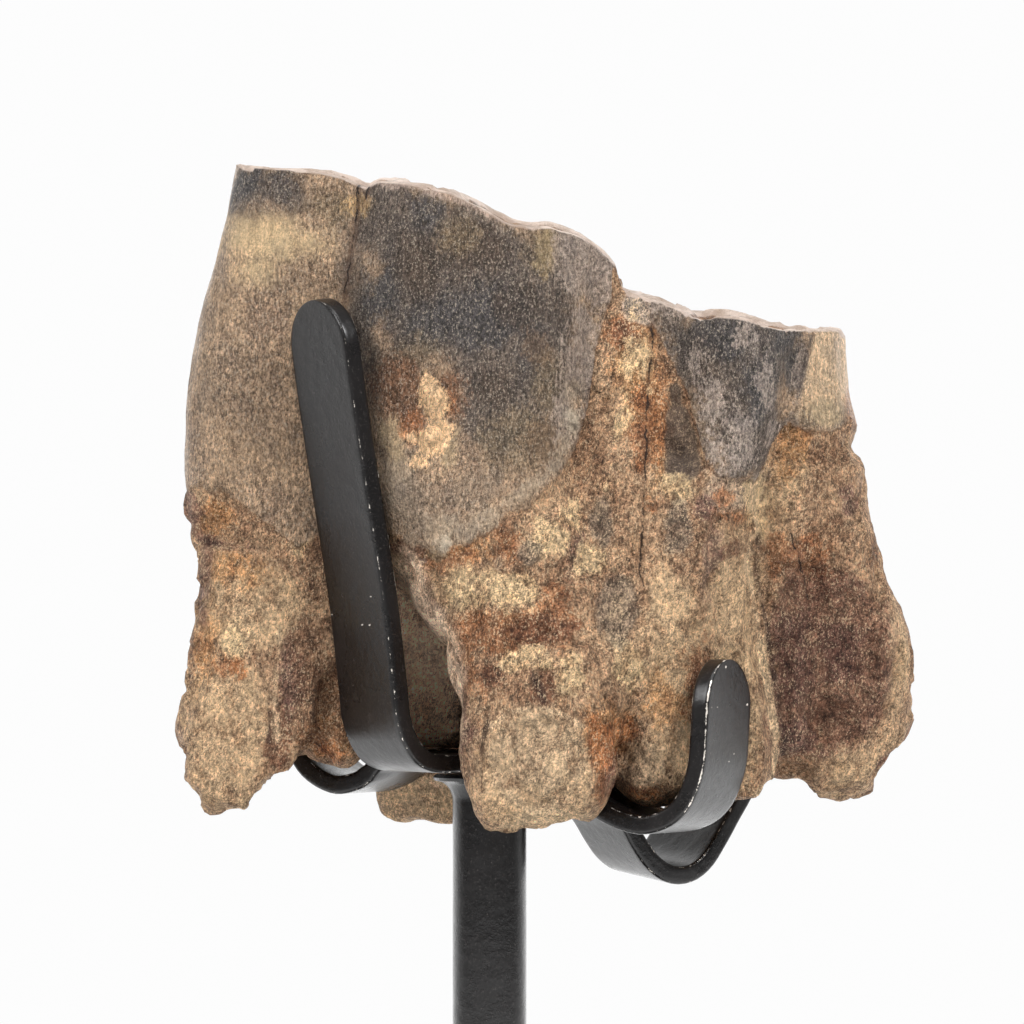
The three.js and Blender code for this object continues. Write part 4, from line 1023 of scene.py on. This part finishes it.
def fossil_material():
    """Root and enamel with painted light and shade on each grain, with the worn top, the cracks and the
    painted shade of the hollows over them.
    """
    graph = Graph("fossil")
    cloud = graph.noise((2.4, 2.4, 2.9), 7, 0.68)
    border = graph.math("ADD", graph.attribute("above_border"), centred(graph, cloud, 1.4))
    enamel = graph.between(border, -0.25, 0.25)
    grit = graph.noise(GRIT, 3, 0.75)
    colour = graph.mix(enamel, root_colour(graph, cloud, grit), enamel_colour(graph, cloud, grit))

    # A broken dark line runs along the enamel's border.
    foot = graph.math("ABSOLUTE", graph.math("ADD", border, 0.12))
    broken = graph.between(cloud, 0.45, 0.6, 0, 0.6)
    foot = graph.math("MULTIPLY", graph.between(foot, 0.22, 0.05), broken)
    colour = graph.mix(foot, colour, linear((72, 50, 40)))

    # Painted light on the upper side of each grain and painted shade under it, in patches, stronger on
    # the root than on the enamel.
    ledge = graph.math("SUBTRACT", grit, graph.noise(GRIT, 3, 0.75, LEDGE_SHIFT))
    grain_painted_shading = graph.mix(1.0, colour, graph.between(ledge, -0.09, 0.09, 0.66, 1.35), "MULTIPLY")
    amount = graph.between(graph.noise((3, 3, 4), 4, 0.7), 0.4, 0.6, 0.2, 1)
    amount = graph.math("MULTIPLY", amount, graph.between(enamel, 0, 1, 0.85, 0.5))
    colour = graph.mix(amount, colour, grain_painted_shading)

    # The worn top reaches over the edge as thin slivers.
    up = graph.between(graph.attribute("facing_up"), 0.45, 0.75)
    high = graph.between(graph.attribute("from_top"), 2.5, 1.2)
    flat = graph.math("MULTIPLY", up, high)
    depth = graph.between(graph.noise((2.6, 30, 30), 3, 0.6), 0.42, 0.62, 0.05, 0.75)
    depth = graph.math("ADD", depth, centred(graph, graph.noise(0.6, 4, 0.7), 0.25))
    below_edge = graph.math("SUBTRACT", graph.attribute("from_top"), depth)
    worn = graph.math("MAXIMUM", flat, graph.between(below_edge, 0.1, -0.1))
    colour = graph.mix(worn, colour, worn_colour(graph, cloud))

    # Cracks are dark, now wider and now finer, and stain the fossil beside them.
    crack = crack_distance(graph)
    colour = graph.mix(graph.between(crack, 0.5, 0.1, 0, 0.3), colour, linear((104, 70, 48)))
    half = graph.between(graph.noise(1.3, 4, 0.7), 0.4, 0.62, 0.005, 0.1)
    open_crack = graph.between(graph.math("SUBTRACT", crack, half), 0.02, -0.02, 0, 0.9)
    colour = graph.mix(open_crack, colour, linear((34, 24, 20)))

    # Painted shade: hollows are darkened, the more enclosed the darker.
    hollow = graph.between(graph.attribute("hollow"), 0.2, 0.8, 0, 0.34)
    colour = graph.mix(hollow, colour, graph.mix(1.0, colour, linear((150, 116, 98)), "MULTIPLY"))
    colour = graph.mix(1.0, colour, WARMTH, "MULTIPLY")

    normal = graph.bump(grit, 0.6)
    normal = graph.bump(graph.between(crack, 0.02, 0.12), 0.15, normal)
    gloss = graph.between(cloud, 0.35, 0.65, 0.36, 0.52)
    matt = graph.between(cloud, 0.35, 0.65, 0.6, 0.8)
    roughness = graph.between(enamel, 0, 1, matt, gloss)
    return graph.finish(colour, roughness, normal, specular=0.32)


def steel_material():
    """Satin black paint with dust, worn to bright metal in nicks and along the arrises."""
    graph = Graph("black_steel")
    cloud = graph.noise(6, 4, 0.6)
    dust = graph.noise(0.22, 3, 0.8)
    paint = graph.mix(graph.between(cloud, 0.35, 0.65), linear((9, 7, 7)), linear((16, 13, 13)))
    paint = graph.mix(graph.between(dust, 0.56, 0.7, 0, 0.3), paint, linear((92, 86, 84)))
    paint = graph.mix(graph.between(dust, 0.72, 0.78, 0, 0.7), paint, linear((150, 142, 138)))
    chips = graph.noise((0.5, 0.5, 0.7), 4, 0.7)
    edge = graph.math("ADD", graph.attribute("edge"), graph.math("MULTIPLY", chips, 1.6))
    edge = graph.math("ADD", edge, graph.between(graph.attribute("rubbed"), 0.1, 0.6, 0, 0.17))
    nearest = FAR
    for x, z, radius in NICKS:
        away = graph.vector("SUBTRACT", graph.vector("MULTIPLY", graph.place, (1, 0, 1)),
                            (x, 0, z + CRADLE_Z))
        away = graph.math("SUBTRACT", graph.vector("LENGTH", away), radius)
        nearest = graph.math("MINIMUM", away, nearest)
    nearest = graph.math("ADD", nearest, centred(graph, chips, 0.2))
    bare = graph.math("MAXIMUM", graph.between(edge, 1.86, 1.94), graph.between(nearest, 0.03, -0.03))
    colour = graph.mix(bare, paint, linear((214, 206, 196)))
    normal = graph.bump(graph.noise(1.1, 3, 0.5), 0.05)
    normal = graph.bump(graph.noise(0.22, 3, 0.7), 0.02, normal)
    roughness = graph.between(bare, 0, 1, graph.between(cloud, 0.3, 0.7, 0.24, 0.32), 0.3)
    return graph.finish(colour, roughness, normal, graph.math("MULTIPLY", bare, 0.3), 0.42)


def floor_material():
    """A pale floor that fades into the surround."""
    graph = Graph("pale_floor")
    away = graph.vector("LENGTH", graph.vector("MULTIPLY", graph.place, (1, 1, 0)))
    graph.connect(graph.shader.inputs["Alpha"], graph.between(away, *FLOOR_FADE, 1, 0))
    graph.shader.inputs["Emission Color"].default_value = (1, 1, 1, 1)
    graph.shader.inputs["Emission Strength"].default_value = 0.3
    return graph.finish(linear((238, 238, 238)), 0.9, graph.bump(graph.noise(3, 3), 0.002))


# ---- The stand ----

# Bare nicks in the paint, as seen from the front: (x, height, radius).
NICKS = [
    (-12.7, 12.7, 0.07), (-10.2, 11.9, 0.05), (-9.6, 11.9, 0.07), (-9.5, 14.2, 0.05),
    (17.7, 5.4, 0.05), (18.2, 5.4, 0.04), (20.7, 5.5, 0.06), (21.2, 5.5, 0.05),
    (18.9, 8.6, 0.06), (19.6, 1.6, 0.04), (19.2, 1, 0.05),
]
# The stretch where the paint is rubbed off an arris.
RUBBED = [(0.9, [(20, 9.2), (19.3, 9), (18, 7.6), (17.6, 6.2), (17.3, 3.4), (16.8, 0.5),
                 (16.3, -1), (15.6, -2.3)])]


def smooth_path(path, per_span=24):
    """A centripetal Catmull-Rom curve through a path."""
    points = np.array(path, float)
    points = np.vstack([2 * points[0] - points[1], points, 2 * points[-1] - points[-2]])
    made = []
    for p0, p1, p2, p3 in zip(points, points[1:], points[2:], points[3:]):
        d0, d1, d2 = (np.linalg.norm(b - a) ** 0.5 for a, b in ((p0, p1), (p1, p2), (p2, p3)))
        t1 = ((p1 - p0) / d0 - (p2 - p0) / (d0 + d1) + (p2 - p1) / d1) * d1
        t2 = ((p2 - p1) / d1 - (p3 - p1) / (d1 + d2) + (p3 - p2) / d2) * d1
        s = np.arange(per_span)[:, None] / per_span
        c2 = -3 * p1 + 3 * p2 - 2 * t1 - t2
        c3 = 2 * p1 - 2 * p2 + t1 + t2
        made.append(p1 + t1 * s + c2 * s**2 + c3 * s**3)
    return np.vstack(made + [points[-2][None]])


def strip_section(half_width, half_thick, radius):
    """Points round a flat bar's section, (across, through), and how near each is to an edge."""
    corners = []
    r = min(radius, half_width * 0.45)
    for cx, cy, start in CORNERS:
        middle = (cx * (half_width - r), cy * (half_thick - r))
        for step in range(5):
            a = math.radians(start + 22.5 * step)
            near = 1 - abs(step - 2) * 0.25
            corners.append((middle[0] + r * math.cos(a), middle[1] + r * math.sin(a), near))
    inner = max(half_width - 0.6, half_width * 0.3)
    spread = np.linspace(-inner, inner, 9)
    under = [(w, -half_thick, 0.0) for w in spread]
    right = [(half_width, -0.2, 0.0), (half_width, 0.2, 0.0)]
    over = [(w, half_thick, 0.0) for w in spread[::-1]]
    left = [(-half_width, 0.2, 0.0), (-half_width, -0.2, 0.0)]
    return under + corners[:5] + right + corners[5:10] + over + corners[10:15] + left + corners[15:]


def strip_rings(path, angle, round_start, start_skew=0, twist=None):
    """Rings of (x, y, z) and their edge values, for a bar bent along a path."""
    curve = smooth_path(path)
    steps = np.linalg.norm(np.diff(curve, axis=0), axis=1)
    run = np.concatenate([[0], np.cumsum(steps)])
    length = run[-1]
    half = STRIP_WIDTH / 2
    # Distances from a round end, closest together where it curves the most.
    turns = [half * (1 - math.cos(math.radians(a))) for a in range(6, 91, 7)]
    start = turns if round_start else [0.0]
    middle = np.arange(start[-1] + 0.5, length - turns[-1] - 0.2, RING_SPACING)
    marks = np.concatenate([start, middle, length - np.array(turns[::-1])])
    cos, sin = math.cos(math.radians(angle)), math.sin(math.radians(angle))
    out, across = np.array((cos, sin, 0)), np.array((-sin, cos, 0))
    rings, edges = [], []
    for mark in marks:
        reach, height = (np.interp(mark, run, curve[:, i]) for i in (0, 1))
        ahead = [np.interp(mark + 0.2, run, curve[:, i]) for i in (0, 1)]
        behind = [np.interp(mark - 0.2, run, curve[:, i]) for i in (0, 1)]
        tangent = np.subtract(ahead, behind)
        tangent = tangent / np.linalg.norm(tangent)
        from_end = min(mark if round_start else length, length - mark)
        shrink = math.sqrt(1 - (1 - from_end / half) ** 2) if from_end < half else 1
        lean = math.radians(twist[0]) * smoothstep(reach, twist[1], twist[2]) if twist else 0
        run_axis = out * tangent[0] + np.array((0, 0, tangent[1]))
        up = -out * tangent[1] + np.array((0, 0, tangent[0]))
        side = across * math.cos(lean) + up * math.sin(lean)
        normal = up * math.cos(lean) - across * math.sin(lean)
        centre = out * reach + np.array((0, 0, height)) + up * STRIP_THICKNESS / 2
        skew = start_skew * max(0, 1 - mark / STRIP_WIDTH)
        section = strip_section(half * shrink, STRIP_THICKNESS / 2, STRIP_ARRIS)
        rings.append([centre + side * w + normal * n + run_axis * skew * w for w, n, _ in section])
        edges.append([edge for _, _, edge in section])
    return np.array(rings), np.array(edges)


def lofted(rings):
    """Points and faces of a closed solid through rings of equal size."""
    rings = np.asarray(rings)
    count, size = rings.shape[:2]
    faces = []
    for r in range(count - 1):
        for i in range(size):
            a, b = r * size + i, r * size + (i + 1) % size
            faces.append((a, b, b + size, a + size))
    faces.append(tuple(reversed(range(size))))
    faces.append(tuple(range((count - 1) * size, count * size)))
    return rings.reshape(-1, 3), faces


def steel_piece(name, node, rings, lift, material):
    """A solid through rings, raised by a height, in the place of a node."""
    points, faces = lofted(rings)
    piece = mesh_piece(name, points + np.array((0, 0, lift)), faces, material)
    piece.data.set_sharp_from_angle(angle=SHARP_ANGLE)
    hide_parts(node)
    return piece


def make_strip(name, node, material, path, angle, round_start=False, start_skew=0, twist=None):
    """One bar of the cradle, with the attributes that its paint reads."""
    rings, edges = strip_rings(path, angle, round_start, start_skew, twist)
    strip = steel_piece(name, node, rings, CRADLE_Z, material)
    x, _, z = rings.reshape(-1, 3).T
    set_attribute(strip.data, "edge", np.clip(edges.ravel(), 0, 1))
    set_attribute(strip.data, "rubbed", stroke_field(x, z, RUBBED))


def make_cradle(material):
    """The long bar under the tooth, and the two short ones that butt against its sides."""
    crossing = math.radians(LONG_STRIP_ANGLE - SHORT_STRIP_ANGLE)
    skew = 1 / math.tan(crossing)
    begin = ((STRIP_WIDTH / 2 + SEAT_GAP) / math.sin(crossing), 0)
    make_strip("long_strip_fine", "long_strip", material, LONG_STRIP_PATH, LONG_STRIP_ANGLE,
               round_start=True, twist=STRIP_LEAN)
    make_strip("front_right_strip_fine", "front_right_strip", material,
               [begin] + FRONT_RIGHT_PATH[1:], SHORT_STRIP_ANGLE, start_skew=skew)
    make_strip("rear_left_strip_fine", "rear_left_strip", material,
               [begin] + REAR_LEFT_PATH[1:], SHORT_STRIP_ANGLE + 180, start_skew=skew)


def turned(profile, sides=72):
    """Rings of a solid turned about the upright axis, from a profile of (radius, height)."""
    turns = np.arange(sides) * 2 * math.pi / sides
    return [
        [(radius * math.cos(t), radius * math.sin(t), height) for t in turns]
        for radius, height in profile
    ]


def make_rod(material):
    """The rod above the base, flared at its top by the brazed fillet."""
    radius = ROD_DIAMETER / 2
    top = CRADLE_Z - SEAT_GAP
    profile = [(radius - 0.2, BASE_THICKNESS + 0.02), (radius, BASE_THICKNESS + 0.2)]
    profile += [(radius, top - FILLET_HEIGHT - 0.6)]
    for step in range(13):
        t = step / 12
        flare = 1 - math.sqrt(1 - t**2)
        height = top - 0.5 - FILLET_HEIGHT * (1 - t)
        profile.append((lerp(radius, FILLET_RADIUS - 0.1, flare), height))
    profile += [(FILLET_RADIUS, top - 0.25), (FILLET_RADIUS - 0.2, top)]
    steel_piece("rod_fine", "rod", turned(profile), 0, material)


def base_ring(inset, height):
    """A square with round corners, drawn in from the base's sides by an inset."""
    half = BASE_SIDE / 2 - inset
    r = max(BASE_CORNER_RADIUS - inset * 0.5, 0.4)
    ring = []
    for cx, cy, start in CORNERS:
        for step in range(9):
            a = math.radians(start + 90 * step / 8)
            x = cx * (half - r) + r * math.cos(a)
            y = cy * (half - r) + r * math.sin(a)
            ring.append((x, y, height))
    return ring


def make_base(material):
    """The plate, from below: half of its rings, and the same rings again turned over."""
    turns = [math.radians(a) for a in (0, 22.5, 45, 67.5, 90)]
    bevel = [(BASE_ARRIS * (1 - math.sin(a)), BASE_ARRIS * (1 - math.cos(a))) for a in turns]
    half = [(2.2, 0)] + bevel + [(0, 2)]
    rings = [base_ring(inset, height) for inset, height in half]
    rings += [base_ring(inset, BASE_THICKNESS - height) for inset, height in reversed(half)]
    half_edges = [0, 0.4, 0.8, 1, 0.8, 0.4, 0]
    edges = half_edges + half_edges[::-1]
    base = steel_piece("base_fine", "base", rings, 0, material)
    set_attribute(base.data, "edge", np.repeat(edges, len(rings[0])))


# ---- Stage, light and camera: metres here, as in Blender ----

MIDDLE = (0, 0, 0.1)  # what the lights look at
LIGHTS = [  # name, place, side, power in watts
    ("key", (0.42, -0.5, 0.66), 0.3, 6.8),
    ("fill", (-0.5, -0.46, 0.56), 0.4, 4.9),
    ("top", (0.05, -0.1, 0.85), 0.3, 1.6),
]
CAMERA_PLACE = (0.00182, -0.7, 0.10096)
CAMERA_LENS = 303.4  # millimetres, on a sensor 36 mm wide


def make_floor(material):
    size = FLOOR_RADIUS * MM
    mesh = bpy.data.meshes.new("floor")
    turns = [2 * math.pi * i / 96 for i in range(96)]
    mesh.from_pydata([(size * math.cos(t), size * math.sin(t), 0) for t in turns], [], [range(96)])
    mesh.materials.append(material)
    floor = bpy.data.objects.new("floor", mesh)
    bpy.context.scene.collection.objects.link(floor)


def make_light(name, place, size, power):
    """A square soft light that looks at the middle of the object."""
    lamp = bpy.data.lights.new(name, "AREA")
    lamp.size = size
    lamp.energy = power
    light = bpy.data.objects.new(name, lamp)
    light.location = place
    aim = Vector(MIDDLE) - Vector(place)
    light.rotation_euler = aim.to_track_quat("-Z", "Y").to_euler()
    light.visible_camera = False
    bpy.context.scene.collection.objects.link(light)


def make_world():
    """A white surround, whose light comes mostly from behind, and more from below than from above."""
    world = bpy.data.worlds.new("pale_surround")
    world.use_nodes = True
    nodes, links = world.node_tree.nodes, world.node_tree.links

    def ramp(value, low, high, to_low, to_high):
        node = nodes.new("ShaderNodeMapRange")
        node.interpolation_type = "SMOOTHSTEP"
        links.new(value, node.inputs["Value"])
        limits = {"From Min": low, "From Max": high, "To Min": to_low, "To Max": to_high}
        for name, number in limits.items():
            node.inputs[name].default_value = number
        return node.outputs["Result"]

    place = nodes.new("ShaderNodeTexCoord")
    split = nodes.new("ShaderNodeSeparateXYZ")
    links.new(place.outputs["Generated"], split.inputs[0])
    strength = ramp(split.outputs["Y"], -0.1, 0.95, 0.29, 2.1)
    for low, high, factor in ((0.2, 0.8, 0.85), (0.0, -0.35, 1.25)):
        light = nodes.new("ShaderNodeMath")
        light.operation = "MULTIPLY"
        links.new(strength, light.inputs[0])
        links.new(ramp(split.outputs["Z"], low, high, 1.0, factor), light.inputs[1])
        strength = light.outputs[0]
    ray = nodes.new("ShaderNodeLightPath")
    seen = nodes.new("ShaderNodeMix")
    links.new(ray.outputs["Is Camera Ray"], seen.inputs[0])
    links.new(strength, seen.inputs[2])
    seen.inputs[3].default_value = 0.98
    links.new(seen.outputs[0], nodes["Background"].inputs["Strength"])
    nodes["Background"].inputs["Color"].default_value = (1, 1, 1, 1)
    bpy.context.scene.world = world


def make_camera():
    camera = bpy.data.cameras.new("camera")
    camera.lens = CAMERA_LENS
    camera.sensor_width = 36
    camera.clip_end = 20
    view = bpy.data.objects.new("camera", camera)
    view.location = CAMERA_PLACE
    view.rotation_euler = (math.radians(90), 0, 0)
    bpy.context.scene.collection.objects.link(view)
    bpy.context.scene.camera = view


steel = steel_material()
make_tooth(fossil_material())
make_cradle(steel)
make_rod(steel)
make_base(steel)
make_floor(floor_material())
for light in LIGHTS:
    make_light(*light)
make_world()
make_camera()
bpy.context.scene.view_settings.view_transform = "Standard"
